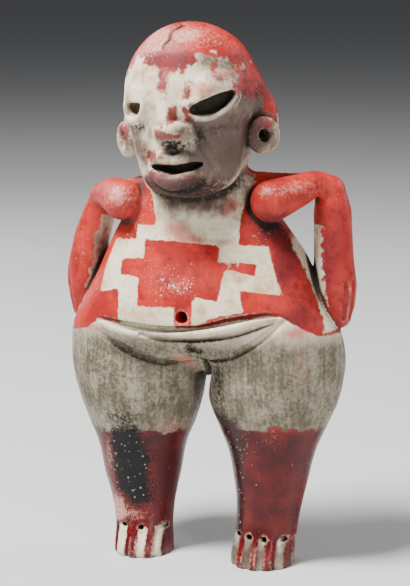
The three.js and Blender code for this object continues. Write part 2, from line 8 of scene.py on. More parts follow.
import math
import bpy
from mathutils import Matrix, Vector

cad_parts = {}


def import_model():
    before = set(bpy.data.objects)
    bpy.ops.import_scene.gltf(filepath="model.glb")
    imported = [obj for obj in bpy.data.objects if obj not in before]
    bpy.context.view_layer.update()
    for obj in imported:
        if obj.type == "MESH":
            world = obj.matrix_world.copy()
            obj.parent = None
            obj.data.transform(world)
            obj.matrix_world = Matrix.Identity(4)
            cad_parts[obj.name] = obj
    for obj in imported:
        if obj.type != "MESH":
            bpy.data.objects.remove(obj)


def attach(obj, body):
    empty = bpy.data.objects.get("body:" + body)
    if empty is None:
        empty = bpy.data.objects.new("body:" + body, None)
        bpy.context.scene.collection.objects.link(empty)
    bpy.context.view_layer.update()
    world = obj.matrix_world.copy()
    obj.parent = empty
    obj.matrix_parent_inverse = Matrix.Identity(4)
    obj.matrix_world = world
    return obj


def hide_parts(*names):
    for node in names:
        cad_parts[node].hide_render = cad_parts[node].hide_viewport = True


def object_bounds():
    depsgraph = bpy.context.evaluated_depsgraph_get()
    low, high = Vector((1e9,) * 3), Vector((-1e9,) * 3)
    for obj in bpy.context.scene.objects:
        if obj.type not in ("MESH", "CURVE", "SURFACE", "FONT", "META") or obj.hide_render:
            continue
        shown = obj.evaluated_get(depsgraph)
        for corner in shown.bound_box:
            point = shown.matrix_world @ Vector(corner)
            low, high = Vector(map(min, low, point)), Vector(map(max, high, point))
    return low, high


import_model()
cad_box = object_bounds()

from concurrent.futures import ThreadPoolExecutor

import bpy
import numpy as np
from mathutils import Matrix, Vector, noise

NODE = "figurine"
MM = 0.001

# Driving dimensions, in millimetres. The figure faces -Y and its own left is +X.
HEIGHT = 330
NECK_PIVOT = (0, -14, 241)
HEAD_LEAN = -4.5
NOSE_X = -2.5
NOSE_TIP = (4.2, -58.6, 270)
EYES = (
    {
        "side": 1, "inner": (15, 280.4), "outer": (32.6, 287.4), "bow": -1.6, "brow": 8.8,
        "open": (3.4, 4.9, 5.4, 4.7, 2.8),
        "rim": [
            [12, 277.4, 0.6, 0], [15.2, 275, 0.9, -0.4], [19.6, 274.5, 1.1, -0.6], [24.2, 275.3, 1.1, -0.6],
            [28.4, 278, 1.1, -0.6], [32.2, 281.6, 0.9, -0.4], [35.6, 286, 0.6, 0],
        ],
    },
    {
        "side": -1, "inner": (19.4, 284), "outer": (28, 284), "bow": -1.8, "brow": 8,
        "open": (2.8, 4.0, 4.6, 4.0, 2.8),
        "rim": [
            [16.6, 284.6, 0.7, 0], [17.2, 281.4, 1.2, -0.4], [19.4, 277.8, 1.7, -0.8], [23.2, 275.6, 2.1, -1.1],
            [27.4, 275.4, 2.3, -1.2], [30.8, 277.6, 2.0, -0.8], [31.8, 281.4, 1.3, -0.2], [30.4, 284.8, 0.8, 0.2],
        ],
    },
)
EAR = {"x": 43, "y": -15, "turn": 47, "ring": 7.4, "clay": 3.5, "hole": 3.9}
EAR_Z = {1: 261, -1: 263}
MOUTH_X = -1
MOUTH_HALF = 14.5
NAVEL = {"x": -0.5, "z": 156.5, "radius": 3.8, "deep": 12}
LEG_SPREAD = 43
FOOT_HALF = {1: 19.5, -1: 18.2}
SOLE_ROUNDING = 5

# How far shapes melt into each other, from broad masses down to crisp details
SOFT = 8
FIRM = 4
CRISP = 1.5

# The net's cell, and how many triangles the visible skin keeps
CELL = 1.0
TRIANGLES = 192000


# Field shapes. Each is a function of points (n, 3) that gives n signed distances, negative inside the clay.

def smooth_min(a, b, blend):
    share = np.maximum(blend - np.abs(a - b), 0) / blend
    return np.minimum(a, b) - share * share * blend / 4


def length(v):
    return np.sqrt(np.einsum("ij,ij->i", v, v))


def join(blend, *shapes):
    """Shapes that grow together, with a fillet about as wide as blend."""
    def distance(p):
        d = shapes[0](p)
        for shape in shapes[1:]:
            d = smooth_min(d, shape(p), blend)
        return d
    return distance


def carve(blend, shape, *tools):
    """A shape with tools pressed into it, their rims rounded by blend."""
    def distance(p):
        d = shape(p)
        for tool in tools:
            d = -smooth_min(-d, tool(p), blend)
        return d
    return distance


def ellipsoid(centre, radii):
    centre, radii = np.array(centre, float), np.array(radii, float)

    def distance(p):
        u = (p - centre) / radii
        reach = length(u)
        slope = np.maximum(length(u / radii), 1e-9)
        return reach * (reach - 1) / slope
    return distance


def within(centre, radius, shape):
    """A shape worked out only near a ball around it. Farther off the distance to the ball will do."""
    centre = np.array(centre, float)

    def distance(p):
        d = length(p - centre) - radius
        near = np.flatnonzero(d <= 1.5 * SOFT)
        if len(near):
            d[near] = shape(p[near])
        return d
    return distance


def either(*shapes):
    """Shapes that merely overlap."""
    return lambda p: np.minimum.reduce([shape(p) for shape in shapes])


def turned(centre, axis, angle, shape):
    """A shape turned about a centre and an axis by an angle in degrees."""
    centre = np.array(centre, float)
    turn = np.array(Matrix.Rotation(math.radians(angle), 3, axis))
    return lambda p: shape((p - centre) @ turn + centre)


def smooth_line(points, pieces):
    """Points along a centripetal curve through points, as many as pieces + 1."""
    points = np.array(points, float)
    ends = 2 * points[[0, -1]] - points[[1, -2]]
    padded = np.vstack([ends[:1], points, ends[1:]])
    line = []
    for at in np.linspace(0, len(points) - 1, pieces + 1):
        k = min(int(at), len(points) - 2)
        t = at - k
        p0, p1, p2, p3 = padded[k:k + 4]
        d0, d1, d2 = (math.sqrt(np.linalg.norm(b - a)) for a, b in ((p0, p1), (p1, p2), (p2, p3)))
        leaving = d1 * ((p1 - p0) / d0 - (p2 - p0) / (d0 + d1) + (p2 - p1) / d1)
        arriving = d1 * ((p2 - p1) / d1 - (p3 - p1) / (d1 + d2) + (p3 - p2) / d2)
        bend = 3 * (p2 - p1) - 2 * leaving - arriving
        twist = leaving + arriving - 2 * (p2 - p1)
        line.append(p1 + t * (leaving + t * (bend + t * twist)))
    return np.array(line)


def roll(points, pieces=None):
    """A roll of clay along a smooth line through points [x, y, z, radius]."""
    points = np.array(points, float)
    pieces = pieces or 4 * (len(points) - 1)
    line = smooth_line(points[:, :3], pieces)
    radii = np.interp(np.linspace(0, len(points) - 1, pieces + 1), np.arange(len(points)), points[:, 3])
    low, high = line.min(axis=0), line.max(axis=0)
    ball = (low + high) / 2
    reach = np.linalg.norm(high - low) / 2 + radii.max()

    def distance(p):
        nearest = np.full(len(p), np.inf)
        for a, b, ra, rb in zip(line, line[1:], radii, radii[1:]):
            u = b - a
            t = np.clip((p - a) @ u / (u @ u), 0, 1)
            away = length(p - a - t[:, None] * u)
            nearest = np.minimum(nearest, away - ra - t * (rb - ra))
        return nearest
    return within(ball, reach, distance)


def smooth_table(rows, count=240):
    """A smooth value between rows [at, *values], as a table that is quick to read."""
    rows = np.array(rows, float)
    table = []
    for at in np.linspace(rows[0, 0], rows[-1, 0], count + 1):
        k = 0
        while k < len(rows) - 2 and rows[k + 1, 0] < at:
            k += 1
        before, start, end, after = (rows[min(max(k + n, 0), len(rows) - 1)] for n in (-1, 0, 1, 2))
        span = end[0] - start[0]
        t = (at - start[0]) / span
        leaving = (end[1:] - before[1:]) / (end[0] - before[0]) * span
        arriving = (after[1:] - start[1:]) / (after[0] - start[0]) * span
        rise = end[1:] - start[1:]
        bend = 3 * rise - 2 * leaving - arriving
        twist = leaving + arriving - 2 * rise
        table.append(start[1:] + t * (leaving + t * (bend + t * twist)))
    return np.array(table)


def limb(rows, corner=2, rounding=SOFT):
    """An upright limb with a rounded section at each height: [z, x, y, half width, front, back].

    The corner is 2 for an oval section and more for a squarer one.
    """
    low, high = rows[0][0], rows[-1][0]
    table = smooth_table(rows)

    def distance(p):
        at = np.clip((p[:, 2] - low) / (high - low) * (len(table) - 1), 0, len(table) - 1.000001)
        i = at.astype(int)
        t = (at - i)[:, None]
        cx, cy, wide, front, back = (table[i] * (1 - t) + table[i + 1] * t).T
        dy = p[:, 1] - cy
        deep = np.where(dy < 0, front, back)
        u = np.abs(p[:, 0] - cx) / wide
        v = np.abs(dy) / deep
        total = u ** corner + v ** corner
        reach = total ** (1 / corner)
        lean = np.hypot(u ** (corner - 1) / wide, v ** (corner - 1) / deep)
        slope = lean * (total + 1e-12) ** (1 / corner - 1)
        across = (reach - 1) / np.maximum(slope, 0.3 / np.maximum(wide, deep))
        return -smooth_min(-across, np.minimum(p[:, 2] - low, high - p[:, 2]), rounding)
    return distance


def front(shape, x, z):
    """The y where a shape's front is met at each x and z, coming from well before it."""
    p = np.column_stack([x, np.full(len(x), -80.0), z])
    for _ in range(150):
        d = shape(p)
        moving = (d >= 0.02) & (p[:, 1] < 0)
        if not moving.any():
            break
        p[moving, 1] += 0.7 * d[moving]
    return p[:, 1]


def laid(shape, points):
    """Points [x, z, radius, sink] laid on a shape's front and sunk by a depth."""
    x, z, radius, sink = np.array(points, float).T
    return np.column_stack([x, front(shape, x, z) + sink, z, radius])


SIDES = (-1, 1)


# Legs, thick at the thigh and running straight down into stub feet

def leg(side, calf):
    x, s, foot = side * LEG_SPREAD, side, FOOT_HALF[side]
    return limb([
        [-4, x - s * 4, -3, foot, 21, 17],
        [5, x - s * 4, -3, foot, 22.5, 17.5],
        [17, x - s * 3, 0, foot - 0.4, 19.5, 17.5],
        [32, x - s * 2, 2, 19.8, 19.5, 18.5],
        [50, x - s, 3, 23.4 + calf, 23, 22],
        [68, x - s * 0.5, 4, 27.2 + calf, 27, 26],
        [84, x - s * 0.5, 4, 33.5 + calf, 31, 30],
        [101, x, 4, 39.2, 36, 34],
        [118, x + s * 1.2, 4, 42, 38, 36],
        [130, x + s * 1.2, 4, 42.6, 37, 36],
        [148, x - s * 2, 4, 34, 28, 32],
        [162, x - s * 8, 4, 22, 16, 20],
    ], 2.1, SOLE_ROUNDING)


# Trunk, from the broad hips up to the neck

def trunk():
    return limb([
        [117, 0, 8, 26, 14, 20],
        [124.5, 0, 5, 56, 25, 28],
        [132, 0, 2, 82, 36.5, 37],
        [141, 0, 1, 85.5, 41, 38],
        [151, 0, 0, 81.5, 42.5, 36],
        [162, 0, 0, 75.5, 42, 33.5],
        [173, 0.5, 0, 70, 39.5, 31],
        [183, 1, 0, 66, 36, 29.5],
        [193, 1, -1, 61.5, 32, 28],
        [204, 0, -2, 55, 28, 26],
        [216, -1, -3, 47, 25, 24],
        [228, -2, -5, 37, 20, 23],
        [240, -3, -8, 31, 16, 24],
        [256, -3, -10, 30, 16, 26],
    ], 2.4, 12)


def whole_body(right_leg, left_leg):
    buttocks = join(SOFT, *(ellipsoid([side * 35, 18, 134], [38, 24, 29]) for side in SIDES))
    shoulders = roll([
        [-60, 3, 223, 8], [-34, 0, 225, 12], [0, -3, 228, 13],
        [36, 0, 229, 12], [54, 3, 232.5, 8], [66, 4, 235, 6.5],
    ])
    return join(SOFT, trunk(), either(right_leg, left_leg), buttocks, shoulders)


# Shoulder lobes laid over the chest, running out and down into the arms, and hands on the hips

LEFT_LOBE = [[48, -19, 226, 12.5], [60, -10, 231, 10], [70, -1, 235, 7.5], [77, 5, 231, 8.5]]
LEFT_ARM = [
    [77, 5, 231, 8.5], [78.5, 6, 217, 11.2], [79.2, 6, 200, 11.8], [80, 6, 186, 12],
    [81.5, 6, 173, 12], [82.5, 6, 163, 10.5], [84, 5, 155, 7],
]
RIGHT_LOBE = [[-46, -19, 223, 12.5], [-57, -9, 224.5, 10], [-67, 3, 222, 8.5]]
RIGHT_ARM = [
    [-67, 3, 222, 8.5], [-72, 6, 209, 10.5], [-76, 6, 197, 11.2], [-79, 6, 183, 11.5],
    [-81.5, 6, 170, 11.5], [-82, 6, 160, 10], [-82.5, 5, 151, 7],
]
FINGER_ANGLES = (-50, -20, 10, 40)
FINGER_HEIGHTS = np.array([12.0, 0.0, -10.0])
FINGER_GROOVE = 1.1
HAND = {1: (82.5, 6, 165), -1: (-82, 6, 162)}


def finger_grooves(arm, side):
    """Grooves down the outside of a hand. An angle runs from straight out towards the back."""
    grooves = []
    for angle in FINGER_ANGLES:
        out = np.array([side * math.cos(math.radians(angle)), math.sin(math.radians(angle)), 0])
        away = np.full(3, 20.0)
        for _ in range(90):
            p = np.array(HAND[side]) + away[:, None] * out
            p[:, 2] += FINGER_HEIGHTS
            outside = arm(p) > 0.3
            if not outside.any():
                break
            away[outside] -= 0.2
        grooves.append(roll(np.column_stack([p, np.full(3, FINGER_GROOVE)])))
    return grooves


def both_arms():
    arms = {
        1: join(CRISP, roll(LEFT_LOBE, 30), roll(LEFT_ARM, 48)),
        -1: join(CRISP, roll(RIGHT_LOBE, 24), roll(RIGHT_ARM, 48)),
    }
    for side in SIDES:
        grooves = within(HAND[side], 32, either(*finger_grooves(arms[side], side)))
        arms[side] = within([side * 68, -3, 194], 62, carve(1, arms[side], grooves))
    return join(CRISP, arms[1], arms[-1])


# Belly fold: a crease under the overhanging belly, a roll below it that is split off by another crease, and
# a groove over the thighs. Each line is points [x, z, radius, sink], and runs out to nothing at its ends.

UNDER_BELLY = [
    [-58, 152.2, 1.2, -0.8], [-48, 151.2, 1.7, 0.6], [-31, 149.8, 1.9, 1.2], [-11, 149.3, 2, 1.4],
    [11, 151.4, 2, 1.4], [29.5, 156, 1.9, 1.2], [46.5, 159.2, 1.7, 0.6], [59, 159.8, 1.2, -0.8],
]
LEFT_ROLL = [
    [-57, 150.6, 1, 0.8], [-50, 148.8, 2.2, -0.8], [-41, 146.6, 2.6, -1.3], [-33, 145, 2.2, -0.8],
    [-23, 143.6, 1, 0.8],
]
RIGHT_ROLL = [
    [-24, 146.8, 1, 0.8], [-11, 146.4, 1.9, 0], [10, 148.4, 2.3, -0.3], [23, 151, 2.5, -0.5], [35, 154.2, 2.4, -0.5],
    [47, 157.2, 2, -0.2], [58, 159, 1, 1],
]
UNDER_ROLL = [
    [-27, 144.6, 1, -0.6], [-15, 143.6, 1.5, 0.5], [-2, 143.8, 1.6, 0.9], [11, 144.8, 1.7, 1.1],
    [23.6, 147, 1.7, 1.1], [35.6, 150.2, 1.6, 0.9], [46, 154, 1.4, 0.5], [56, 157.2, 1, -0.4],
]
OVER_RIGHT_THIGH = [
    [-57, 144, 1.5, -0.8], [-49, 139.8, 2.3, 0.4], [-42, 136.4, 2.8, 0.9], [-33, 132.2, 3, 1.2],
    [-25, 129.4, 3, 1.2], [-16.7, 127, 2.8, 1.2], [-6, 126.5, 2.5, 1.2], [4, 129.5, 2.2, 1],
]
OVER_LEFT_THIGH = [
    [8, 132, 2, 1], [15, 130, 2.4, 1.3], [23, 132.2, 2.3, 1.3], [30, 135.4, 2.2, 1.3], [37, 139.4, 2.1, 1.2],
    [43.5, 143.5, 2, 1.1], [49.5, 148, 1.8, 0.8], [55, 152.4, 1.5, 0.4], [61, 157.5, 1.1, -0.4],
]
PIT = [[4.2, 139, 2.3, 0.4], [9.2, 137.2, 2.2, 0.4]]
SLIT = {"at": [4.7, -14, 111], "radii": [3, 36, 25], "lean": 17}


def folded(body):
    lines = (UNDER_BELLY, UNDER_ROLL, OVER_RIGHT_THIGH, OVER_LEFT_THIGH, PIT)
    slit = turned(SLIT["at"], "Y", SLIT["lean"], ellipsoid(SLIT["at"], SLIT["radii"]))
    creases = either(*(roll(laid(body, line)) for line in lines), slit)
    rolls = (roll(laid(body, line)) for line in (LEFT_ROLL, RIGHT_ROLL))
    return carve(CRISP, join(CRISP, body, *rolls), within([3, -30, 138], 72, creases))


def navel(body):
    x, z, radius = NAVEL["x"], NAVEL["z"], NAVEL["radius"]
    y = front(body, np.array([x]), np.array([z]))[0]
    return roll([[x, y - radius, z, radius], [x, y + NAVEL["deep"], z + 2, radius]], 1)


# Toes, parted by grooves down the front of each foot. A groove's rows are [z, radius, sink].

TOE_GROOVES = (-14, -5, 4, 13)
TOE_GROOVE = [[18, 1.7, -0.6], [10, 1.8, -0.5], [3, 1.8, -0.4], [0.5, 1.8, 0]]
FOOT_X = 39


def toe_grooves(foot, middle):
    lines = [[[middle + across, *row] for row in TOE_GROOVE] for across in TOE_GROOVES]
    return within([middle, -20, 10], 30, either(*(roll(laid(foot, line), 4) for line in lines)))


# Head, shaped upright and then leaned as one. A broad hood of hair flares out behind the ears.

HOOD_EDGE = [[17, -2, 305, 10], [28, -2, 293, 9], [40, -2, 276.5, 8], [41.8, -2, 262, 6.8]]


CHEEK_FOLD = [[12, 268, 2.2, -0.5], [16, 261, 2.8, -0.4], [19.5, 253, 2.6, -0.5], [21.5, 246, 1.8, -0.8]]
CHIN_GROOVE = [
    [-14, 238.5, 1.5, -0.6], [-7, 234, 2.4, 0], [0, 232.6, 2.6, 0.2], [7, 234, 2.4, 0], [14, 238.5, 1.5, -0.6],
]


def skull():
    hoods = [roll([[side * x, *rest] for x, *rest in HOOD_EDGE]) for side in SIDES]
    jaw = limb([
        [238, 0, -18, 26, 26, 24],
        [246, 0, -16, 31, 31, 26],
        [256, 0, -16, 34, 34, 30],
        [268, 0, -15, 35.5, 35.5, 34],
        [284, 0, -14, 36, 37.5, 36],
        [300, 0, -13, 32, 34, 34],
    ], 2.5, 10)
    chin = ellipsoid([0, -27, 241], [27, 22.5, 13.8])
    return join(SOFT, ellipsoid([0, -13, 291.5], [39.3, 40.5, 38.8]), jaw, chin, *hoods)


def ear(side):
    """A spool with a rolled rim, bored through at its middle down to a plate."""
    x, y, z = side * EAR["x"], EAR["y"], EAR_Z[side]

    def spool(p):
        across = np.hypot(p[:, 0] - x, p[:, 2] - z)
        wreath = np.hypot(across - EAR["ring"], p[:, 1] - y) - EAR["clay"]
        plate = np.maximum(across - EAR["ring"], np.abs(p[:, 1] - y - 2) - 2.5)
        return np.maximum(smooth_min(wreath, plate, 1), np.minimum(EAR["hole"] - across, y + 2 - p[:, 1]))
    return turned([x, y, z], "Z", side * EAR["turn"], spool)


def ear_hole(side):
    """The spool's bore, which runs on into the head."""
    centre = np.array([side * EAR["x"], EAR["y"], EAR_Z[side]])
    turn = math.radians(side * EAR["turn"])
    axis = np.array([-math.sin(turn), math.cos(turn), 0])
    return roll([[*(centre - 8 * axis), EAR["hole"] - 0.2], [*(centre + 9 * axis), EAR["hole"] - 0.6]], 1)


def nose():
    bridge = roll([[NOSE_X - 1, -49, 297, 4], [NOSE_X - 1, -52.6, 286, 4.2], [NOSE_X + 0.2, -55.4, 276, 4.8]])
    wings = roll([[-9.6, -49.8, 267.6, 2.8], [-3, -55.8, 267.4, 3.3], [5, -57, 267.2, 3.4], [10.6, -50.5, 266.6, 3.2]])
    return join(2.5, bridge, wings, ellipsoid(NOSE_TIP, [6.6, 5.9, 4.4]))


def nostrils():
    middle = NOSE_X + 1.8
    holes = [[[middle + side * 4.4, -58, 257, 2.6], [middle + side * 4.4, -53, 265, 2.1]] for side in SIDES]
    return [roll(hole, 1) for hole in holes]


def lip_line(*half):
    """A roll mirrored about the mouth's middle, from points [across, y, z, radius] of its end to its middle."""
    right, left = ([[MOUTH_X + side * across, *rest] for across, *rest in half] for side in SIDES)
    return roll([*right, *left[-2::-1]])


def lips():
    return join(
        CRISP,
        lip_line([MOUTH_HALF + 1.5, -43, 249, 2.2], [7.5, -50.6, 253.4, 3], [0, -52.2, 251.8, 2.8]),
        lip_line([MOUTH_HALF + 1.5, -43, 246.8, 2.6], [8.5, -51.2, 241.2, 3.9], [0, -54.2, 239.2, 4.7]),
    )


def mouth():
    return either(
        lip_line([MOUTH_HALF, -46, 248.2, 1.6], [8.5, -51, 247.2, 3], [4, -53, 247, 3.5], [0, -53.5, 246.2, 3.3]),
        lip_line([MOUTH_HALF - 2, -44, 248.2, 1.4], [8, -47.2, 247.2, 2.6], [0, -49, 246.2, 3]),
        lip_line([MOUTH_HALF - 4, -42, 248, 1.2], [6, -44, 247.2, 2.2], [0, -45.5, 246.2, 2.6]),
    )


def along_eye(shape, eye, lift, sink, radii):
    """A line from an eye's inner to its outer corner, bowed up by a lift, with a radius for each quarter."""
    t = np.linspace(0, 1, len(radii))
    x = eye["side"] * (eye["inner"][0] + t * (eye["outer"][0] - eye["inner"][0]))
    z = eye["inner"][1] + t * (eye["outer"][1] - eye["inner"][1]) + lift * np.sin(math.pi * (0.08 + 0.84 * t))
    return roll(laid(shape, np.column_stack([x, z, radii, np.full(len(t), sink)])))


def whole_head():
    """The leaned head's field, the same before its hollows were cut, and the upright head's lower lids."""
    bare = skull()
    brows = [along_eye(bare, eye, eye["brow"], 1.5, [3.6, 4.6, 4.7, 3.8, 2.4]) for eye in EYES]
    folds = [roll(laid(bare, [[side * x, *rest] for x, *rest in CHEEK_FOLD])) for side in SIDES]
    muzzle = ellipsoid([MOUTH_X, -37, 250], [17.5, 14, 14])
    cheeks = join(3, carve(3, join(SOFT, bare, *brows), *folds), muzzle)
    cheeks = carve(2, cheeks, roll(laid(bare, CHIN_GROOVE)))
    face = join(2.2, join(FIRM, cheeks, nose()), lips())
    openings = [along_eye(cheeks, eye, eye["bow"], 1.8, eye["open"]) for eye in EYES]
    depths = [along_eye(cheeks, eye, eye["bow"] + 0.8, 7.5, [2.4, 3.8, 4.4, 3.8, 2]) for eye in EYES]
    rims = [roll(laid(cheeks, [[eye["side"] * x, *rest] for x, *rest in eye["rim"]])) for eye in EYES]
    under_rims = [
        roll(laid(cheeks, [[eye["side"] * x, z - 0.8, radius + 0.6, 1.4] for x, z, radius, _ in eye["rim"]]))
        for eye in EYES
    ]
    hollows = [either(*pair) for pair in zip(openings, depths)]
    lidded = carve(CRISP, join(2, face, *under_rims), *hollows)
    opened = carve(1, join(0.8, lidded, *rims), mouth(), *nostrils())
    upright = carve(0.6, join(CRISP, opened, ear(1), ear(-1)), ear_hole(1), ear_hole(-1))
    leaned = [within([-4, -14, 280], 66, turned(NECK_PIVOT, "Y", HEAD_LEAN, shape)) for shape in (upright, face)]
    return *leaned, rims


# Finer relief, pressed into the finished form

# The crack down from the crown and the short one over the right eye, as points [x, z, radius, sink]
CRACK = [
    [-5, 328.6, 2.0, -0.4], [-7, 327, 1.5, -0.4], [-9.1, 324.6, 1.0, -0.2],
    [-8.4, 320, 0.8, 0], [-11.3, 317, 0.9, 0], [-10.7, 314.6, 0.5, -0.2],
]
SHORT_CRACK = [[-15.5, 289, 0.5, -0.1], [-18.6, 286.6, 0.4, -0.1]]

# Holes pricked over the toes with a reed, as [x, z]
REED_HOLES = [[-47, 18.8], [-36, 18], [-24.5, 18], [26.5, 18.5], [34.5, 18.5], [44, 18], [54.5, 18]]
REED_RADIUS = 1.5
REED_DEEP = 5


def reed_holes(shape):
    x, z = np.array(REED_HOLES).T
    y = front(shape, x, z)
    reeds = [[[a, b - 2, c, REED_RADIUS], [a, b + REED_DEEP, c, REED_RADIUS]] for a, b, c in zip(x, y, z)]
    return within([4, -16, 18], 56, either(*(roll(reed, 1) for reed in reeds)))


def whole_figure():
    """The figure's field with its finer relief, and the fields of the parts that the paint goes by."""
    right_leg, left_leg = leg(-1, 0.5), leg(1, -1)
    body = whole_body(right_leg, left_leg)
    toes = [toe_grooves(right_leg, -FOOT_X), toe_grooves(left_leg, FOOT_X)]
    arms = both_arms()
    head, uncut_head, rims = whole_head()
    standing = join(FIRM, carve(CRISP, folded(body), *toes), arms, head)
    plain = carve(1, standing, navel(body))
    cracks = [roll(laid(plain, CRACK)), roll(laid(plain, SHORT_CRACK), 2)]
    return {
        "skin": spread(carve(0.8, plain, *cracks, reed_holes(plain))),
        "body": body,
        "arms": arms,
        "uncut head": uncut_head,
        "rims": rims,
        "left roll": roll(laid(body, LEFT_ROLL)),
    }


# The net over the field's surface

NET_LOW = np.array([-108.13, -76.21, -10.0])
NET_HIGH = np.array([108.0, 60.0, HEIGHT + 8.0])
BLOCK = 4


def spread(field):
    """The same field, worked out for many points at once on all of the processor's cores."""
    def distance(p):
        parts = np.array_split(p, max(1, len(p) // 20000))
        with ThreadPoolExecutor() as pool:
            return np.concatenate(list(pool.map(field, parts)))
    return distance


def sample(field, low, size, cell):
    """The field at every corner of a grid. Blocks far from the surface take one value throughout."""
    blocks = np.stack(np.meshgrid(*(np.arange(n // BLOCK) for n in size), indexing="ij"), -1).reshape(-1, 3)
    middle = field(low + (blocks + 0.5) * BLOCK * cell)
    values = np.empty(size, np.float32)
    tiled = values.reshape(size[0] // BLOCK, BLOCK, size[1] // BLOCK, BLOCK, size[2] // BLOCK, BLOCK)
    tiled = tiled.transpose(0, 2, 4, 1, 3, 5)
    tiled[...] = middle.reshape(tiled.shape[:3])[..., None, None, None]
    near = blocks[np.abs(middle) < 1.4 * BLOCK * cell]
    steps = np.stack(np.meshgrid(*[np.arange(BLOCK)] * 3, indexing="ij"), -1).reshape(-1, 3)
    near = near[np.argsort(near[:, 2], kind="stable")]
    found = field((low + (near[:, None] * BLOCK + steps) * cell).reshape(-1, 3))
    tiled[tuple(near.T)] = found.reshape(-1, BLOCK, BLOCK, BLOCK)
    return values


CORNERS = np.array([[n & 1, n >> 1 & 1, n >> 2] for n in range(8)])
EDGES = np.array([[n, n | bit] for bit in (1, 2, 4) for n in range(8) if not n & bit])


def holds_together(bits):
    """Whether the corners in a pattern hold together along a cell's edges."""
    joined = [(a, b) for a, b in EDGES if bits >> a & bits >> b & 1]
    reached = bits & -bits
    for _ in range(8):
        for a, b in joined:
            if (reached >> a | reached >> b) & 1:
                reached |= 1 << a | 1 << b
    return reached == bits


CROSSED_ONCE = np.array([holds_together(n) and holds_together(255 - n) for n in range(256)])


def patterns(values):
    """Which of a cell's corners are inside, as the bits of a number, for every cell."""
    inside = values < 0
    nx, ny, nz = (n - 1 for n in values.shape)
    bits = np.zeros((nx, ny, nz), np.uint8)
    for n, (a, b, c) in enumerate(CORNERS):
        bits |= inside[a:a + nx, b:b + ny, c:c + nz].astype(np.uint8) << n
    return bits


def mend(values, cell):
    """Fills cells that two sheets of the surface pass, so that the net stays one closed skin."""
    for _ in range(20):
        torn = np.argwhere(~CROSSED_ONCE[patterns(values)])
        if not len(torn):
            return
        for corner in torn:
            around = corner + CORNERS
            found = values[tuple(around.T)]
            if not CROSSED_ONCE[int(((found < 0) << np.arange(8)).sum())]:
                outside = np.where(found >= 0)[0]
                values[tuple(around[outside[np.argmin(found[outside])]])] = -0.1 * cell


def surface_net(field, low, high, cell):
    """Points and quads of a net over the field's surface, with one point in each cell that it crosses."""
    size = (np.ceil((high - low) / cell / BLOCK) * BLOCK).astype(int)
    values = sample(field, low, size, cell)
    mend(values, cell)
    bits = patterns(values)
    crossed = np.argwhere((bits > 0) & (bits < 255))
    at = np.stack([values[tuple((crossed + corner).T)] for corner in CORNERS], 1)
    total = np.zeros((len(crossed), 3))
    count = np.zeros(len(crossed))
    for a, b in EDGES:
        cut = (at[:, a] < 0) != (at[:, b] < 0)
        t = np.divide(at[:, a], at[:, a] - at[:, b], out=np.zeros(len(at)), where=cut)
        place = CORNERS[a] + t[:, None] * (CORNERS[b] - CORNERS[a])
        total += np.where(cut[:, None], place, 0)
        count += cut
    points = low + cell * (crossed + total / count[:, None])
    point_in = np.full(bits.shape, -1)
    point_in[tuple(crossed.T)] = np.arange(len(crossed))
    inside = values < 0
    quads = []
    for axis in range(3):
        step = np.eye(3, dtype=int)[axis]
        u, v = np.eye(3, dtype=int)[[(axis + 1) % 3, (axis + 2) % 3]]
        here = inside[1:-1, 1:-1, 1:-1]
        there = inside[tuple(slice(1 + s, n - 1 + s) for s, n in zip(step, values.shape))]
        start = np.argwhere(here != there) + 1
        quad = np.stack([point_in[tuple((start - offset).T)] for offset in (u + v, v, 0 * u, u)], 1)
        outward = inside[tuple(start.T)]
        quad[~outward] = quad[~outward, ::-1]
        quads.append(quad)
    return points, np.concatenate(quads)


def slope_of(field, points, reach):
    """The field's slope at points, by central differences."""
    steps = np.eye(3) * reach
    return np.stack([field(points + s) - field(points - s) for s in steps], 1) / (2 * reach)


def settle(field, points, cell):
    """Points moved along the field's slope onto the surface."""
    slope = slope_of(field, points, 0.2)
    steepness = np.maximum((slope ** 2).sum(axis=1), 0.3)
    move = np.clip(field(points) / steepness, -cell / 3, cell / 3)
    return points - move[:, None] * slope


# Handwork leaves the surface a little uneven: the lengths and heights of its swells
SWELLS = ((44, 0.55), (21, 0.30), (9, 0.09))


def uneven(points):
    """How far each point stands out or in."""
    out = np.zeros(len(points))
    for swell, height in SWELLS:
        out += height * np.array([noise.noise(p) for p in (points / swell).tolist()])
    return out


def relaxed(points, quads, share, rounds):
    """Points drawn towards the mean of their neighbours, each by its own share, again and again."""
    a = np.concatenate([quads[:, k] for k in range(4)])
    b = np.concatenate([quads[:, (k + 1) % 4] for k in range(4)])
    held = (share[a] > 0) | (share[b] > 0)
    a, b = a[held], b[held]
    count = np.maximum(np.bincount(a, minlength=len(points)), 1)
    for _ in range(rounds):
        mean = np.stack([np.bincount(a, points[b, k], len(points)) / count for k in range(3)], 1)
        points = points + share[:, None] * (mean - points)
    return points


def hip_share(points):
    """Where the hips run on into the thighs without a crease: at the sides and behind."""
    x, y, z = points.T
    beside = np.clip((np.abs(x) - 56) / 8, 0, 1)
    behind = np.clip((y - 4) / 8, 0, 1) * np.clip((np.abs(x) - 18) / 10, 0, 1)
    return np.maximum(beside, behind) * np.clip((z - 108) / 6, 0, 1) * np.clip((148 - z) / 6, 0, 1)


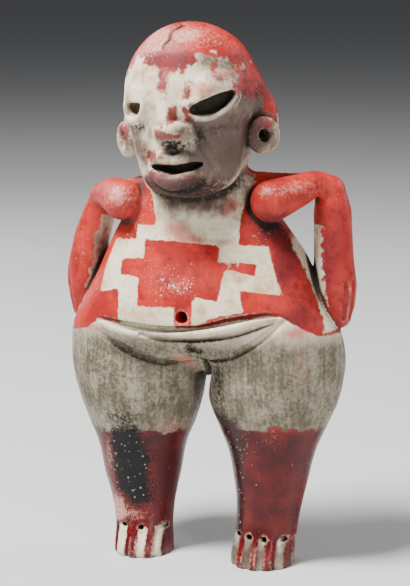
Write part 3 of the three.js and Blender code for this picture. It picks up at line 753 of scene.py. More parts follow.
def build_mesh(field):
    """The figure as one closed skin, in the model's frame and in metres."""
    standing = lambda p: np.maximum(field(p), -p[:, 2])
    points, quads = surface_net(standing, NET_LOW, NET_HIGH, CELL)
    feet = points[:, 2] < 0.6
    points[~feet] = settle(field, points[~feet], CELL)
    normals = slope_of(field, points, 0.4)
    normals /= np.maximum(np.linalg.norm(normals, axis=1), 1e-6)[:, None]
    settled_in = np.clip((points[:, 2] - 1) / 6, 0, 1)
    points += (uneven(points) * settled_in)[:, None] * normals
    points = relaxed(points, quads, 0.5 * hip_share(points), 90)
    mesh = bpy.data.meshes.new("figure_skin")
    mesh.from_pydata((points * MM).tolist(), [], quads.tolist())
    mesh.update()
    return mesh


def thinned(mesh, triangles):
    """The mesh with its flattest edges folded away until a number of triangles is left."""
    maker = bpy.data.objects.new("thinning", mesh)
    bpy.context.scene.collection.objects.link(maker)
    fold = maker.modifiers.new("fold", "DECIMATE")
    fold.ratio = triangles / (2 * len(mesh.polygons))
    thin = bpy.data.meshes.new_from_object(maker.evaluated_get(bpy.context.evaluated_depsgraph_get()))
    bpy.data.objects.remove(maker)
    bpy.data.meshes.remove(mesh)
    return thin


# Paint. Outlines are points (x, z) as seen from the front, in millimetres. A stroke is its slip, how far back
# it reaches in y, and its outline. Later strokes cover earlier ones.

CREAM, RED = 1, -1
CHEST = -4
FACE = -10
STROKES = (
    # Chest: a deep V at the neck and a stepped band to either side leave a red cross between them
    (CREAM, CHEST, (
        (-28, 240), (-27, 230), (-23.5, 220), (-21, 209.8), (-34.5, 209), (-34.5, 200.6), (-11.5, 201.3),
        (10, 200), (20, 199.5), (30.5, 200), (30.5, 217), (34, 240),
    )),
    (CREAM, CHEST, (
        (-50.5, 199.5), (-28.5, 200.8), (-28, 190), (-43.5, 188.5), (-43, 179.5), (-30, 179), (-29, 162.5),
        (-5, 163), (-5, 148), (-41.5, 147), (-42.5, 171), (-57.5, 168), (-56.5, 180), (-54, 190),
    )),
    (CREAM, CHEST, (
        (19.5, 200.5), (47.5, 199.6), (50.5, 190), (53.8, 180), (58, 171.2), (33.5, 175), (37, 162.5),
        (34, 161.5), (18, 158), (13, 155), (6, 151), (6, 169.5), (15, 169), (21, 167), (23.5, 185),
        (25, 186.5), (42, 182.5), (42, 190), (19.5, 190),
    )),
    # Dark red left in the fold under the belly
    (RED, CHEST, ((2, 143), (24, 145.6), (40, 150), (54, 155), (53, 157.4), (38, 152.6), (22, 148.6), (2, 145))),
    # Face, with the hair's edge above it and at the left temple
    (CREAM, FACE, (
        (-60, 296), (-38, 299), (-28, 310.5), (-20, 305.5), (-10, 303), (7, 303), (9.5, 309), (11.5, 312.5),
        (17.5, 312.5), (29, 306), (31.5, 300), (30, 293), (34, 288), (39, 284), (46, 278), (50, 262),
        (40, 240), (24, 226), (-24, 226), (-40, 240), (-60, 262),
    )),
)

# Tints brushed thinly over the cream of the face: the tint, how strong it is, and its outline
WASHES = (
    ("wash", 0.9, ((-10.5, 305), (-9.8, 292), (-4.3, 290.5), (-3.5, 305))),
    ("wash", 0.75, ((4.5, 298.5), (5, 288), (10, 286.5), (10.5, 297.5))),
    ("wash", 0.95, ((-3.5, 282.5), (1.5, 284), (2.2, 273.5), (-2.5, 272.5))),
    ("wash", 1.0, ((4, 283.5), (7, 283.5), (12.5, 276.5), (10.5, 272.5), (6, 274))),
    ("wash", 1.0, ((-13.5, 269.8), (-6, 269), (1, 268.2), (6, 267.2), (5.5, 264.2), (-6, 263.4), (-12, 263.6))),
    ("wash", 0.85, ((-21, 257), (-15, 258), (-11, 252.5), (-14, 249.5), (-20.5, 249.5))),
    ("wash", 0.8, ((17, 304), (21.5, 303.5), (22, 308.5), (17.5, 309))),
    ("wash", 0.85, ((31, 303), (31.5, 292), (35.5, 287), (41, 289), (46, 281), (54, 284), (46, 308))),
    ("olive_and_shade", 1.0, ((10, 311.5), (12.5, 314), (18, 313), (30, 306.5), (30.5, 301), (22, 303.5), (12, 306))),
    ("olive_and_shade", 0.9, ((4, 271.8), (9.5, 271), (12, 264), (6, 262.5), (4.5, 266))),
)

# Toes are striped: where each cream stripe starts and ends across the foot, and how high the stripes reach
TOE_STRIPES = ((-51.8, -45), (-37, -32), (-28, -24), (22, 27), (32, 36.8), (40.8, 45), (51.3, 55.6), (58.5, 70))
STRIPES_TOP = 18.6
STRIPES_BACK = 4

# Hips and thighs are cream from the fold down to above the knee, all the way round
HIP_LINE = ((-95, 141), (-80, 141), (-66, 145), (-57, 151), (-48, 151.2), (-31, 149.8), (-11, 149.3),
            (11, 151.4), (29.5, 156), (46.5, 159.2), (57, 159.4), (62, 156.5), (68, 152.5), (77, 147), (95, 144))
HIP_BACK = 143
KNEE = {-1: 80.5, 1: 89}

# The trunk's sides were left cream behind the arms: where that starts across, at each height
FLANK_LINE = ((150, 79.5), (157, 77), (166, 73.3), (178, 68.5), (190, 63.5), (202, 56), (212, 52), (222, 50))
FLANK_BACK = 16

# Smoke from the firing blackened the front of the right shin and browned the inside of the left
RIGHT_CLOUD = ((-52, 81), (-43, 84), (-35, 82.5), (-30.5, 77), (-31, 62), (-31.5, 48), (-32, 36), (-37, 31.5),
               (-43.5, 34), (-48, 40), (-51.5, 47), (-54, 60), (-54, 72))
LEFT_CLOUD = ((8, 97), (29, 93), (33, 80), (30.5, 60), (29.5, 42), (28, 22), (8, 20))

# Where the leaned head carries the middle of each ear
EAR_SEEN = {1: (41.3, 264.3), -1: (-44.4, 259.5)}

# Soft spots of a tint: [x, z, across, up, strength], all on the front
WASH = (
    (42, 272, 13, 8, 1.0), (-45, 264, 10, 9, 0.9), (-13, 243, 6, 3, 0.5), (0, 240, 20, 5, 0.75),
    (20, 270, 12, 2.5, 0.5), (-17, 236, 9, 7, 0.8), (-30, 282, 4, 5, 0.4), (10, 284, 3, 3, 0.7),
    (14, 236, 12, 6, 0.6), (6, 230, 22, 4, 0.5), (-8, 254, 8, 3, 0.4), (-2, 233, 16, 4, 0.5),
)
PINK = (
    (-8, 207, 11, 7, 0.95), (8, 202, 14, 2.5, 0.6), (25, 201, 6, 3, 0.5), (23, 222, 6, 7, 1.0),
    (-57, 163, 4, 12, 0.6), (18, 294, 12, 5, 0.55), (-33, 290, 5, 4, 0.5), (28, 180, 6, 4, 0.25),
    (66, 150, 9, 4, 0.8), (-64, 146, 10, 3, 0.6), (-16, 84, 12, 5, 0.5), (-3, 128, 6, 10, 0.5),
    (34, 264, 7, 12, 0.55), (-30, 262, 6, 8, 0.45), (-8, 130, 10, 4, 0.3), (24, 301, 8, 3, 0.8),
    (70, 128, 5, 30, 0.3), (-24, 236, 5, 6, 0.5), (-22, 254, 6, 10, 0.5), (0, 291, 18, 9, 0.35), (-20, 299, 12, 7, 0.35),
)
TAN = (
    (13, 162, 4, 6, 0.8), (-38, 176, 6, 3, 0.6), (-20, 158, 10, 4, 0.6), (49, 176, 8, 6, 0.85),
    (32, 182, 8, 5, 0.8), (29, 170, 5, 8, 0.8), (47, 188, 4, 8, 0.5), (-36, 158, 5, 5, 0.4), (64, 112, 5, 30, 0.4),
)
# An olive-grey stain, with painted shade on the thighs, the chin and neck and under the shoulder lobe at +X
OLIVE_AND_SHADE = (
    (19, 308, 11, 6, 0.95), (14, 266, 6, 9, 0.8), (5, 268.5, 4, 3, 0.5), (40, 8, 24, 12, 0.8),
    (34, 10, 5, 12, 0.6), (-60, 120, 34, 34, 0.5), (24, 10, 3, 12, 0.5), (28, 256, 12, 9, 0.6),
    (-24, 10, 4, 14, 0.45), (43, 262, 10, 7, 0.7), (-44, 258, 10, 7, 0.5), (0, 236, 22, 9, 0.6),
    (12, 226, 20, 5, 0.5), (48, 214, 9, 9, 0.6), (-40, 118, 24, 26, 0.35), (64, 176, 8, 24, 0.4),
)
# Dark grime, with painted shade under the chin and nose, in the armpits, beneath the lower lid at -X and beside the
# ear at +X
GRIME_AND_SHADE = (
    (20, 268, 7, 8, 0.35), (28, 250, 12, 8, 0.2), (0, 230, 26, 6, 0.8), (48, 211, 9, 8, 0.8),
    (-29, 269.5, 6, 1.8, 0.8), (-22, 271.5, 3, 3.5, 0.55), (-1, 260.5, 9, 2.4, 1.2), (-11, 265, 2, 3, 0.5), (-44, 212, 5, 5, 0.6),
    (60, 204, 6, 10, 0.7), (68, 180, 4, 14, 0.3), (64, 212, 8, 6, 0.6),
    (-44, 90, 12, 8, 0.75), (35, 288, 7, 8, 0.4), (-22, 268, 5, 6, 0.3),
    (13, 267, 3.5, 6, 0.45), (31, 215, 4, 7, 0.5), (17, 112, 7, 26, 0.7), (14, 238, 14, 6, 0.55),
    (-9, 320, 2.5, 8, 0.4), (3, 136, 6, 6, 0.5), (-46, 118, 14, 16, 0.35), (38, 262, 4, 14, 0.45),
    (-20, 236, 6, 5, 0.4), (36, 246, 6, 5, 0.4), (-64, 128, 12, 10, 0.35), (-2, 256, 6, 4, 0.5),
)
# A plum-grey stain, with painted shade on the cheek and temple at +X, under the nose, on the chin and neck and on the
# inner face of the arm at -X
PLUM_AND_SHADE = (
    (36, 285, 7, 12, 1.0), (31, 264, 9, 14, 1.0), (19, 265, 9, 11, 0.9), (14, 254, 9, 6, 0.8),
    (-3, 257, 8, 5, 0.9), (0, 237, 24, 9, 1.0), (26, 248, 11, 11, 0.9), (-26, 258, 7, 12, 0.8), (25, 274, 10, 4, 0.8),
    (43, 262, 12, 9, 0.7), (-44, 256, 10, 8, 0.5), (14, 221, 14, 6, 0.4), (40, 10, 24, 12, 0.7),
    (0, 224, 26, 7, 0.55), (-68, 186, 8, 24, 0.8), (-33, 268, 5, 8, 0.5), (74, 206, 6, 12, 0.4),
    (-31, 291, 4, 5, 0.35), (24, 299, 8, 3, 0.7), (40, 214, 8, 5, 0.6), (-38, 212, 5, 5, 0.5),
    (0, 231, 26, 4, 0.5), (-28, 302, 4, 6, 0.4), (14, 272, 12, 3, 0.6), (-12, 222, 10, 5, 0.25),
)
# Where the red is worn to white flecks
WORN = (
    (-25, 224, 5, 9, 0.95), (-46, 226, 11, 8, 0.95), (-12, 172, 9, 9, 0.7), (-24, 205, 14, 5, 0.55),
    (-40, 204, 6, 6, 0.6), (-15, 186, 22, 9, 0.45), (-50, 60, 8, 26, 0.75), (-48, 30, 10, 9, 0.75),
    (3, 321, 20, 9, 0.5), (30, 84, 9, 8, 0.6), (38, 70, 8, 24, 0.35), (42, 206, 10, 5, 0.6),
    (-20, 20, 4, 12, 0.6), (66, 166, 6, 10, 0.4), (72, 228, 10, 8, 0.3), (-40, 313, 9, 16, 0.4),
    (34, 294, 8, 10, 0.6), (2, 176, 7, 3.5, 0.8), (-2, 173, 4, 3, 0.6),
)
# Where the red lies thick and dark, with painted shade in the fold under the belly, under the shoulder lobe and down
# the arm and side at +X
DUSK_AND_SHADE = (
    (-14, 309, 18, 5, 1.0), (4, 308, 12, 5, 1.0), (40, 292, 9, 14, 0.9), (26, 309, 10, 5, 0.7),
    (46, 208, 10, 9, 0.8), (58, 186, 8, 12, 0.5), (40, 156, 24, 4, 0.7), (62, 156, 12, 6, 0.5),
    (80, 188, 9, 34, 0.7), (-84, 180, 5, 18, 0.4), (60, 218, 14, 4, 0.6), (-60, 208, 10, 5, 0.5),
    (-22, 58, 8, 30, 1.0), (56, 196, 8, 16, 0.6), (66, 168, 8, 12, 0.5), (38, 60, 8, 34, 0.5),
)
# Where the red is rubbed thin and looks dusty pink, with painted highlights on the crown and the shoulder lobes
HAZE_AND_HIGHLIGHT = (
    (-17, 320, 9, 8, 1.5), (0, 323, 9, 5, 1.0), (-28, 308, 8, 9, 0.8), (-46, 227, 9, 7, 1.0),
    (12, 319, 12, 7, 0.3),
    (50, 233, 14, 5, 0.5), (24, 322, 14, 8, 0.25), (-34, 208, 5, 4, 0.5), (66, 235, 9, 5, 0.45),
    (52, 86, 6, 8, 0.3), (-54, 26, 6, 8, 0.5), (-33, 222, 5, 12, 0.35), (-40, 290, 4, 12, 0.5),
    (30, 207, 4, 4, 0.4), (-6, 174, 10, 5, 0.5), (74, 200, 4, 26, 0.4), (-78, 190, 6, 20, 0.3),
    (-62, 170, 5, 14, 0.4), (-52, 30, 6, 10, 0.9), (-40, 26, 10, 4, 0.6), (-56, 64, 4, 16, 0.7),
)


def area(x, z, outline):
    """The distance of points to an outline's edge, positive inside it."""
    nearest = np.full(len(x), np.inf)
    inside = np.zeros(len(x), bool)
    for (ax, az), (bx, bz) in zip(outline, (*outline[1:], outline[0])):
        ux, uz = bx - ax, bz - az
        t = np.clip(((x - ax) * ux + (z - az) * uz) / (ux * ux + uz * uz), 0, 1)
        nearest = np.minimum(nearest, np.hypot(x - ax - t * ux, z - az - t * uz))
        if az != bz:
            inside ^= ((az > z) != (bz > z)) & (x < ax + (z - az) * ux / uz)
    return np.where(inside, nearest, -nearest)


def spots(points, normals, rows):
    """How strongly the spots in a tint's rows colour each point, at most 1. They fade out round the sides."""
    x, y, z = points.T
    total = np.zeros(len(points))
    for cx, cz, across, up, strength in rows:
        total += strength * np.exp(-((x - cx) / across) ** 2 - ((z - cz) / up) ** 2)
    return np.clip(total, 0, 1) * np.clip(0.6 - 1.6 * normals[:, 1], 0, 1)


def washes(points, tint):
    """How thickly a tint is brushed over each point of the face, at most 1."""
    x, y, z = points.T
    thick = np.zeros(len(points))
    for name, strength, outline in WASHES:
        if name == tint:
            thick = np.maximum(thick, strength * np.clip(area(x, z, outline) / 3.4 + 0.55, 0, 1))
    return thick * np.clip((-6 - y) / 4, 0, 1)


def cream_areas(points, normals, on_arm):
    """The distance to the edge of the cream slip, positive on the cream."""
    x, y, z = points.T
    side = np.sign(x)
    cream = np.full(len(points), -20.0)
    for slip, back, outline in STROKES:
        inside = np.minimum(area(x, z, outline), back - y)
        cream = np.maximum(cream, inside) if slip == CREAM else np.minimum(cream, -inside)

    for own_side, (cx, cz) in EAR_SEEN.items():
        on_ear = (np.hypot(x - cx, z - cz) < EAR["ring"] + EAR["clay"] + 1.5) & (side == own_side)
        cream = np.where(on_ear & (np.abs(y - EAR["y"]) < 14), 9, cream)

    flank = np.abs(x) - np.interp(z, *np.transpose(FLANK_LINE))
    flank = np.minimum.reduce([flank, FLANK_BACK - y, z - 148, 222 - z])
    cream = np.where(z > 236, cream, np.maximum(cream, flank))

    inner_face = 11 * (-side * normals[:, 0] - np.where(side > 0, 0.38, 0.5))
    inner_face = np.minimum(inner_face, 12 - y)
    cream = np.where(on_arm, np.minimum(inner_face, 211 - z), cream)

    behind = np.clip(y / 16, 0, 1)
    top = (1 - behind) * np.interp(x, *np.transpose(HIP_LINE)) + behind * HIP_BACK
    knee = np.where(x < 0, KNEE[-1], KNEE[1]) + 1.2 * np.sin(x / 7) + 0.8 * np.sin(x / 3.1 + y / 9)
    thighs = np.minimum(top - z, z - knee)
    cream = np.where((z < 161) & ~on_arm, np.maximum(cream, thighs), cream)

    stripes = np.maximum.reduce([np.minimum(x - a, b - x) for a, b in TOE_STRIPES])
    stripes = np.minimum.reduce([stripes, STRIPES_TOP - z, STRIPES_BACK - y])
    return np.where(z < 25, stripes, cream)


def nearest_of(points, shapes):
    """The distance to the nearest of the upright head's shapes from points on the leaned head."""
    turn = np.array(Matrix.Rotation(math.radians(HEAD_LEAN), 3, "Y"))
    upright = (points - NECK_PIVOT) @ turn + NECK_PIVOT
    return np.minimum.reduce([shape(upright) for shape in shapes])


class Nodes:
    """Adds nodes to a material's tree and gives back their outputs."""

    def __init__(self, tree):
        self.tree = tree

    def node(self, kind, inputs, **settings):
        made = self.tree.nodes.new("ShaderNode" + kind)
        for name, value in settings.items():
            setattr(made, name, value)
        for name, value in inputs.items():
            if isinstance(value, bpy.types.NodeSocket):
                self.tree.links.new(value, made.inputs[name])
            else:
                made.inputs[name].default_value = value
        return made

    def attribute(self, name):
        return self.node("Attribute", {}, attribute_name=name).outputs["Fac"]

    def math(self, operation, a, b=0.0, c=0.0):
        return self.node("Math", {0: a, 1: b, 2: c}, operation=operation).outputs[0]

    def add(self, a, b):
        return self.math("ADD", a, b)

    def times(self, a, b):
        return self.math("MULTIPLY", a, b)

    def plus_times(self, a, b, c):
        """a times b, plus c."""
        return self.math("MULTIPLY_ADD", a, b, c)

    def span(self, value, low, high, start=0.0, end=1.0):
        """A smooth step from start to end as a value goes from low to high."""
        limits = {"Value": value, "From Min": low, "From Max": high, "To Min": start, "To Max": end}
        return self.node("MapRange", limits, interpolation_type="SMOOTHSTEP").outputs[0]

    def mix(self, share, a, b):
        return self.node("Mix", {0: share, 6: a, 7: b}, data_type="RGBA").outputs[2]

    def scaled(self, at, factors):
        return self.node("VectorMath", {0: at, 1: factors}, operation="MULTIPLY").outputs[0]

    def noise(self, at, size, detail=3.0, rough=0.55):
        """Noise with lumps about size millimetres across."""
        values = {"Vector": at, "Scale": 1 / size, "Detail": detail, "Roughness": rough}
        return self.node("TexNoise", values).outputs["Fac"]

    def dots(self, at, spacing):
        """The distance to the nearest of many scattered points, in spacings."""
        return self.node("TexVoronoi", {"Vector": at, "Scale": 1 / spacing}).outputs["Distance"]


# Colours of the slips, the worn and smoked places with painted highlights and shade among them, and the soil and
# painted shade in the hollows
BRIGHT_RED = (0.50, 0.030, 0.020, 1)
MID_RED = (0.31, 0.013, 0.010, 1)
DEEP_RED = (0.042, 0.0018, 0.003, 1)
DUSK_RED = (0.12, 0.008, 0.013, 1)
DUSTY_RED = (0.28, 0.032, 0.030, 1)
HAZED_AND_HIGHLIGHT_RED = (0.66, 0.32, 0.25, 1)
PALE = (0.74, 0.62, 0.47, 1)
LIGHT_CREAM = (0.84, 0.74, 0.56, 1)
WARM_CREAM = (0.60, 0.46, 0.28, 1)
STAINED_CREAM = (0.30, 0.235, 0.15, 1)
OLIVE_GREY = (0.105, 0.088, 0.058, 1)
TAN_CLAY = (0.52, 0.27, 0.11, 1)
PINK_WASH = (0.48, 0.13, 0.10, 1)
PLUM_GREY = (0.070, 0.036, 0.033, 1)
RIM_WHITE_AND_HIGHLIGHT = (0.70, 0.63, 0.50, 1)
SOIL_AND_SHADE = (0.014, 0.010, 0.007, 1)
SMOKE = (0.004, 0.0035, 0.004, 1)
BROWNED = (0.022, 0.005, 0.005, 1)


TINTS = {"wash": WASH, "pink": PINK, "tan": TAN, "olive_and_shade": OLIVE_AND_SHADE, "grime_and_shade": GRIME_AND_SHADE, "plum_and_shade": PLUM_AND_SHADE, "worn": WORN,
         "haze_and_highlight": HAZE_AND_HIGHLIGHT, "dusk_and_shade": DUSK_AND_SHADE}


def painted_clay():
    clay = bpy.data.materials.new("painted_clay")
    clay.use_nodes = True
    tree = clay.node_tree
    n = Nodes(tree)
    at = n.scaled(n.node("TexCoord", {}).outputs["Object"], (1000, 1000, 1000))
    streaks = n.noise(n.scaled(at, (1, 1, 0.06)), 2.6, 4)
    broad = n.noise(at, 16, 4)
    lumps = n.noise(at, 5, 3)
    ragged = n.noise(at, 2.0, 3)
    fine = n.noise(at, 0.8, 3)
    crumbs = n.noise(n.scaled(at, (1, 1, 0.8)), 1.25, 2.5, 0.65)

    # The two slips, with a hand-drawn edge between them
    edge = n.plus_times(ragged, 1.7, n.add(n.attribute("cream"), -0.85))
    edge = n.plus_times(fine, 0.8, n.add(edge, -0.4))
    loose = n.attribute("loose")
    edge = n.plus_times(n.times(loose, n.add(lumps, -0.5)), 16.0, edge)
    reach = n.times(loose, 1.3)
    is_cream = n.span(edge, n.math("SUBTRACT", -0.2, reach), n.add(reach, 0.25))

    # Red slip: deeper low on the legs, streaked by the burnishing stone, dark where thick and with painted shade,
    # dusty where it is rubbed thin and pale with painted highlights
    red = n.mix(n.span(broad, 0.36, 0.62), MID_RED, BRIGHT_RED)
    dusk_and_shade = n.plus_times(lumps, 0.8, n.add(n.attribute("dusk_and_shade"), -0.5))
    red = n.mix(n.span(dusk_and_shade, 0.0, 0.8, 0.0, 0.9), red, DUSK_RED)
    red = n.mix(n.span(streaks, 0.35, 0.75, 0.0, 0.4), red, MID_RED)
    red = n.mix(n.span(lumps, 0.52, 0.75, 0.0, 0.35), red, DEEP_RED)
    red = n.mix(n.times(n.attribute("deep"), n.span(broad, 0.2, 0.8, 1.0, 0.75)), red, DEEP_RED)
    haze_and_highlight = n.math("MAXIMUM", n.attribute("haze_and_highlight"), n.times(n.attribute("proud"), 0.7))
    dusty = n.plus_times(ragged, 1.0, n.plus_times(fine, 1.2, n.plus_times(haze_and_highlight, 0.75, -1.3)))
    haze_and_highlight = n.span(dusty, 0.0, 0.75, 0.0, 0.85)
    red = n.mix(haze_and_highlight, red, HAZED_AND_HIGHLIGHT_RED)
    fleck_from = n.plus_times(n.attribute("worn"), -0.15, 0.725)
    flecks = n.span(n.math("SUBTRACT", crumbs, fleck_from), 0.0, 0.05)
    red = n.mix(flecks, red, PALE)

    # Cream slip: warm where thick, stained, greyed and speckled on the thighs, washed with red in places, and greyed
    # with painted shade on the thighs, face and neck
    cream = n.mix(n.span(broad, 0.3, 0.7, 0.0, 0.7), LIGHT_CREAM, WARM_CREAM)
    cream = n.mix(n.span(n.plus_times(fine, 0.6, n.times(ragged, 0.4)), 0.48, 0.68, 0.0, 0.45), cream, STAINED_CREAM)
    cream = n.mix(n.span(n.plus_times(lumps, 0.5, n.times(broad, 0.5)), 0.5, 0.72, 0.0, 0.6), cream, STAINED_CREAM)
    cream = n.mix(n.times(n.attribute("tan"), n.span(lumps, 0.3, 0.65)), cream, TAN_CLAY)
    streaked = n.plus_times(streaks, 0.45, n.plus_times(ragged, 0.35, n.times(broad, 0.4)))
    cream = n.mix(n.times(n.attribute("olive_and_shade"), n.span(streaked, 0.42, 0.76, 0.7, 1.08)), cream, OLIVE_GREY)
    pink = n.plus_times(lumps, 0.7, n.plus_times(streaks, 0.5, n.add(n.attribute("pink"), -0.6)))
    cream = n.mix(n.span(pink, 0.15, 0.9, 0.0, 0.85), cream, PINK_WASH)
    wash = n.plus_times(lumps, 1.1, n.plus_times(ragged, 0.9, n.add(n.attribute("wash"), -1.0)))
    washed = n.mix(n.span(streaks, 0.4, 0.65), DUSTY_RED, DUSK_RED)
    cream = n.mix(n.span(wash, 0.2, 0.85, 0.0, 0.95), cream, washed)
    plum_and_shade = n.plus_times(lumps, 0.7, n.plus_times(streaks, 0.5, n.add(n.attribute("plum_and_shade"), -0.6)))
    cream = n.mix(n.span(plum_and_shade, 0.1, 0.9, 0.0, 0.9), cream, PLUM_GREY)
    speck_from = n.plus_times(n.attribute("olive_and_shade"), -0.10, 0.72)
    specks = n.span(n.math("SUBTRACT", crumbs, speck_from), 0.0, 0.08, 0.0, 0.8)
    cream = n.mix(specks, cream, SOIL_AND_SHADE)
    colour = n.mix(is_cream, red, cream)

    # Smoke from the firing, with pale crumbs on it
    cloudy = n.plus_times(lumps, 12.0, n.add(n.attribute("cloud"), -6.0))
    cloudy = n.plus_times(crumbs, 16.0, n.plus_times(broad, 12.0, n.add(cloudy, -14.0)))
    cloudy = n.span(cloudy, -3.6, 2.4)
    colour = n.mix(cloudy, colour, SMOKE)
    browned = n.plus_times(lumps, 8.0, n.add(n.attribute("browned"), -4.0))
    colour = n.mix(n.span(browned, -4.5, 3.0, 0.0, 0.92), colour, BROWNED)
    crumb_size = n.plus_times(lumps, 0.7, -0.14)
    crumb = n.span(n.math("SUBTRACT", crumb_size, n.dots(at, 2.7)), 0.0, 0.12)
    crumb = n.times(crumb, n.math("MAXIMUM", cloudy, n.span(browned, -5.0, 0.0, 0.0, 0.8)))
    colour = n.mix(n.times(crumb, 0.45), colour, PALE)

    # Soil and painted shade in the hollows, the creases and the cut openings of eyes, mouth and nostrils
    soil_and_shade = n.add(n.attribute("hollow"), n.times(n.attribute("grime_and_shade"), n.span(ragged, 0.22, 0.56)))
    soil_and_shade = n.span(n.plus_times(fine, 0.5, n.add(soil_and_shade, -0.25)), 0.12, 0.95, 0.0, 0.97)
    colour = n.mix(soil_and_shade, colour, SOIL_AND_SHADE)
    # Pale rims under the eyes, as wear, and a painted highlight along the top of the belly roll at -X
    colour = n.mix(n.times(n.attribute("rim"), n.span(lumps, 0.3, 0.6, 0.5, 0.95)), colour, RIM_WHITE_AND_HIGHLIGHT)

    shader = tree.nodes["Principled BSDF"]
    tree.links.new(colour, shader.inputs["Base Color"])
    rough = n.plus_times(is_cream, 0.12, n.plus_times(ragged, 0.36, 0.27))
    rough = n.plus_times(n.attribute("dusk_and_shade"), 0.25, n.plus_times(n.attribute("deep"), -0.16, rough))
    rough = n.plus_times(n.math("MAXIMUM", soil_and_shade, cloudy), 0.3, rough)
    rough = n.plus_times(flecks, 0.2, rough)
    rough = n.plus_times(streaks, 0.18, n.add(rough, -0.09))
    tree.links.new(rough, shader.inputs["Roughness"])
    shader.inputs["Specular IOR Level"].default_value = 0.3

    height = n.plus_times(streaks, 0.5, n.times(fine, 0.35))
    height = n.plus_times(is_cream, 0.12, height)
    height = n.plus_times(specks, -0.3, height)
    height = n.plus_times(crumb, 0.4, height)
    relief = {"Height": height, "Strength": 0.35, "Distance": 0.0004}
    tree.links.new(n.node("Bump", relief).outputs["Normal"], shader.inputs["Normal"])
    return clay


def set_attribute(mesh, name, values):
    mesh.attributes.new(name, "FLOAT", "POINT").data.foreach_set("value", values.astype(np.float32))


def paint(mesh, points, figure):
    """Works out the paint at each point of the mesh, from its place in the figure's own millimetres."""
    skin = figure["skin"]
    normals = slope_of(skin, points, 0.5)
    normals /= np.maximum(np.linalg.norm(normals, axis=1), 1e-6)[:, None]
    x, y, z = points.T

    arm_distance = figure["arms"](points)
    on_arm = (arm_distance < 1.5) & (figure["body"](points) > arm_distance + 1) & (figure["uncut head"](points) > 1)
    cream = cream_areas(points, normals, on_arm)
    set_attribute(mesh, "cream", np.clip(cream, -9, 9))
    for name, rows in TINTS.items():
        tint = spots(points, normals, rows)
        # The thighs are greyed all round below the belly, partly as a stain and partly as painted shade
        if name == "olive_and_shade":
            tint = np.maximum(tint, 0.97 * np.clip((152 - z) / 14, 0, 1) * np.clip((z - 60) / 12, 0, 1))
        tint = np.maximum(tint, washes(points, name))
        set_attribute(mesh, name, tint)
    set_attribute(mesh, "deep", np.clip((100 - z) / 14, 0, 1))
    knee = np.exp(-((z - np.where(x < 0, KNEE[-1], KNEE[1])) / 9) ** 2)
    loose = np.maximum.reduce([np.clip((z - 238) / 12, 0.15, 1), 0.7 * knee, 0.6 * on_arm])
    set_attribute(mesh, "loose", loose)

    # Hollows are where the clay closes in around a point just off the surface, near by and farther out. They are
    # darkened with soil and painted shade.
    here = skin(points)
    near = 1 - (skin(points + 1.2 * normals) - here) / 1.2
    far = 1 - (skin(points + 5 * normals) - here) / 5
    # The eyes' lower rims are painted pale as wear; the top of the belly roll at -X gets a painted highlight,
    # strongest where it faces up
    rims = 0.8 - 1.5 * nearest_of(points, figure["rims"])
    left_roll_highlight = (0.7 - figure["left roll"](points)) * np.clip(normals[:, 2] + 0.4, 0, 1)
    rims = np.clip(np.maximum(rims, left_roll_highlight), 0, 1)
    set_attribute(mesh, "rim", rims)
    # Inside the cut eyes, mouth and nostrils the colour is darkened as painted shade, less in the eye at -X
    within_face = np.clip((-0.5 - figure["uncut head"](points)) / 1.3, 0, 1) * (1 - rims)
    within_face *= np.where((x < -16) & (z > 270), 0.55, 1.3)
    closed_in = (1.2 * near + 0.7 * far - 0.2) * np.where((figure["uncut head"](points) < 2) & (z > 240) & (z < 300), 0.5, 1)
    set_attribute(mesh, "hollow", np.clip(np.maximum(closed_in, within_face), 0, 1.3))
    bend = sum(skin(points + s) + skin(points - s) - 2 * here for s in 2.0 * np.eye(3)) / 4
    set_attribute(mesh, "proud", np.clip((bend - 0.12) / 0.35, 0, 1))

    cloud = np.minimum(area(x, z, RIGHT_CLOUD), 6 - y)
    set_attribute(mesh, "cloud", np.clip(cloud, -9, 9))
    browned = np.minimum(area(x, z, LEFT_CLOUD), 20 - y)
    set_attribute(mesh, "browned", np.clip(np.where(x > 0, browned, -9), -9, 9))


# The photograph's camera: its direction, its distance, and the size of a pixel at the figure's middle plane
AZIMUTH = 19
ELEVATION = 10
DISTANCE = 1.2
PIXEL = 0.0006257
IMAGE = (410, 586)
FLOOR_PIXEL = 553
AIM_X = -0.0002
AIM_Y = 0.0101
SENSOR = 36


def camera():
    az, el = math.radians(AZIMUTH), math.radians(ELEVATION)
    right = Vector((math.cos(az), math.sin(az), 0))
    back = Vector((math.sin(az) * math.cos(el), -math.cos(az) * math.cos(el), math.sin(el)))
    up = back.cross(right)
    aim = Vector((AIM_X, AIM_Y, 0)) + up * (FLOOR_PIXEL - IMAGE[1] / 2) * PIXEL
    lens = bpy.data.cameras.new("camera")
    lens.sensor_width = SENSOR
    lens.lens = SENSOR * DISTANCE / (PIXEL * IMAGE[1])
    eye = bpy.data.objects.new("camera", lens)
    eye.matrix_world = Matrix.Translation(aim + DISTANCE * back) @ Matrix((right, up, back)).transposed().to_4x4()
    bpy.context.scene.collection.objects.link(eye)
    bpy.context.scene.camera = eye


def light(name, at, aim, size, power, colour=(1, 1, 1)):
    lamp = bpy.data.lights.new(name, "AREA")
    lamp.shape = "RECTANGLE"
    lamp.size, lamp.size_y = size
    lamp.energy = power
    lamp.color = colour
    holder = bpy.data.objects.new(name, lamp)
    holder.location = at
    holder.rotation_euler = (Vector(aim) - Vector(at)).to_track_quat("-Z", "Y").to_euler()
    bpy.context.scene.collection.objects.link(holder)


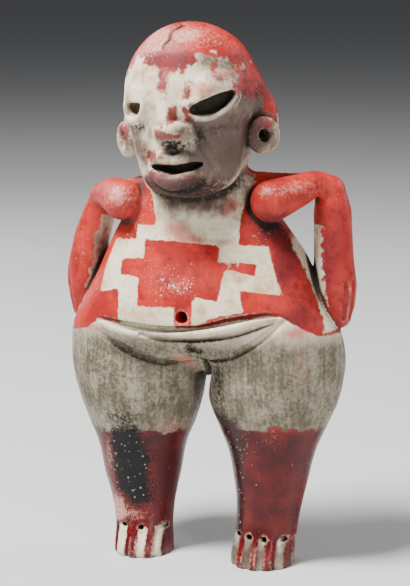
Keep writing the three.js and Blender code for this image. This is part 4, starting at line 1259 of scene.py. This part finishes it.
def floor():
    half = 40
    corners = [(-half, -half, 0), (half, -half, 0), (half, half, 0), (-half, half, 0)]
    mesh = bpy.data.meshes.new("floor")
    mesh.from_pydata(corners, [], [(0, 1, 2, 3)])
    ground = bpy.data.objects.new("floor", mesh)
    pale = bpy.data.materials.new("pale_floor")
    pale.use_nodes = True
    shader = pale.node_tree.nodes["Principled BSDF"]
    shader.inputs["Base Color"].default_value = (0.6, 0.6, 0.59, 1)
    shader.inputs["Roughness"].default_value = 0.8
    mesh.materials.append(pale)
    bpy.context.scene.collection.objects.link(ground)


def world():
    sky = bpy.data.worlds.new("studio")
    sky.use_nodes = True
    sky.node_tree.nodes["Background"].inputs["Color"].default_value = (0.9, 0.93, 1, 1)
    sky.node_tree.nodes["Background"].inputs["Strength"].default_value = 0.09
    bpy.context.scene.world = sky


def main():
    figure = whole_figure()
    skin = thinned(build_mesh(figure["skin"]), TRIANGLES)
    count = len(skin.vertices)
    at = np.empty(3 * count)
    skin.vertices.foreach_get("co", at)
    at = at.reshape(-1, 3)
    paint(skin, at / MM, figure)
    low, high = np.array(cad_box[0]), np.array(cad_box[1])
    scale = (high[2] - low[2]) / at[:, 2].max()
    fixed = np.array([(at[:, 0].min() + at[:, 0].max()) / 2, at[:, 1].max(), 0])
    placed = (at - fixed) * scale + [(low[0] + high[0]) / 2, high[1], low[2]]
    skin.vertices.foreach_set("co", placed.ravel())
    skin.shade_smooth()
    skin.materials.append(painted_clay())
    piece = bpy.data.objects.new("figure_skin", skin)
    bpy.context.scene.collection.objects.link(piece)
    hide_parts(NODE)
    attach(piece, "root")
    floor()
    world()
    camera()
    light("key", (-0.6, -0.75, 1.9), (0, 0, 0.2), (0.6, 0.6), 125)
    light("side", (1.2, -1.05, 0.4), (0, 0, 0.12), (0.12, 1.1), 10)
    light("rim", (1.1, 0.9, 0.9), (0, 0, 0.2), (0.5, 1.2), 12)
    light("far_rim", (-1.2, 0.8, 0.8), (0, 0, 0.2), (0.5, 1.2), 8)


main()
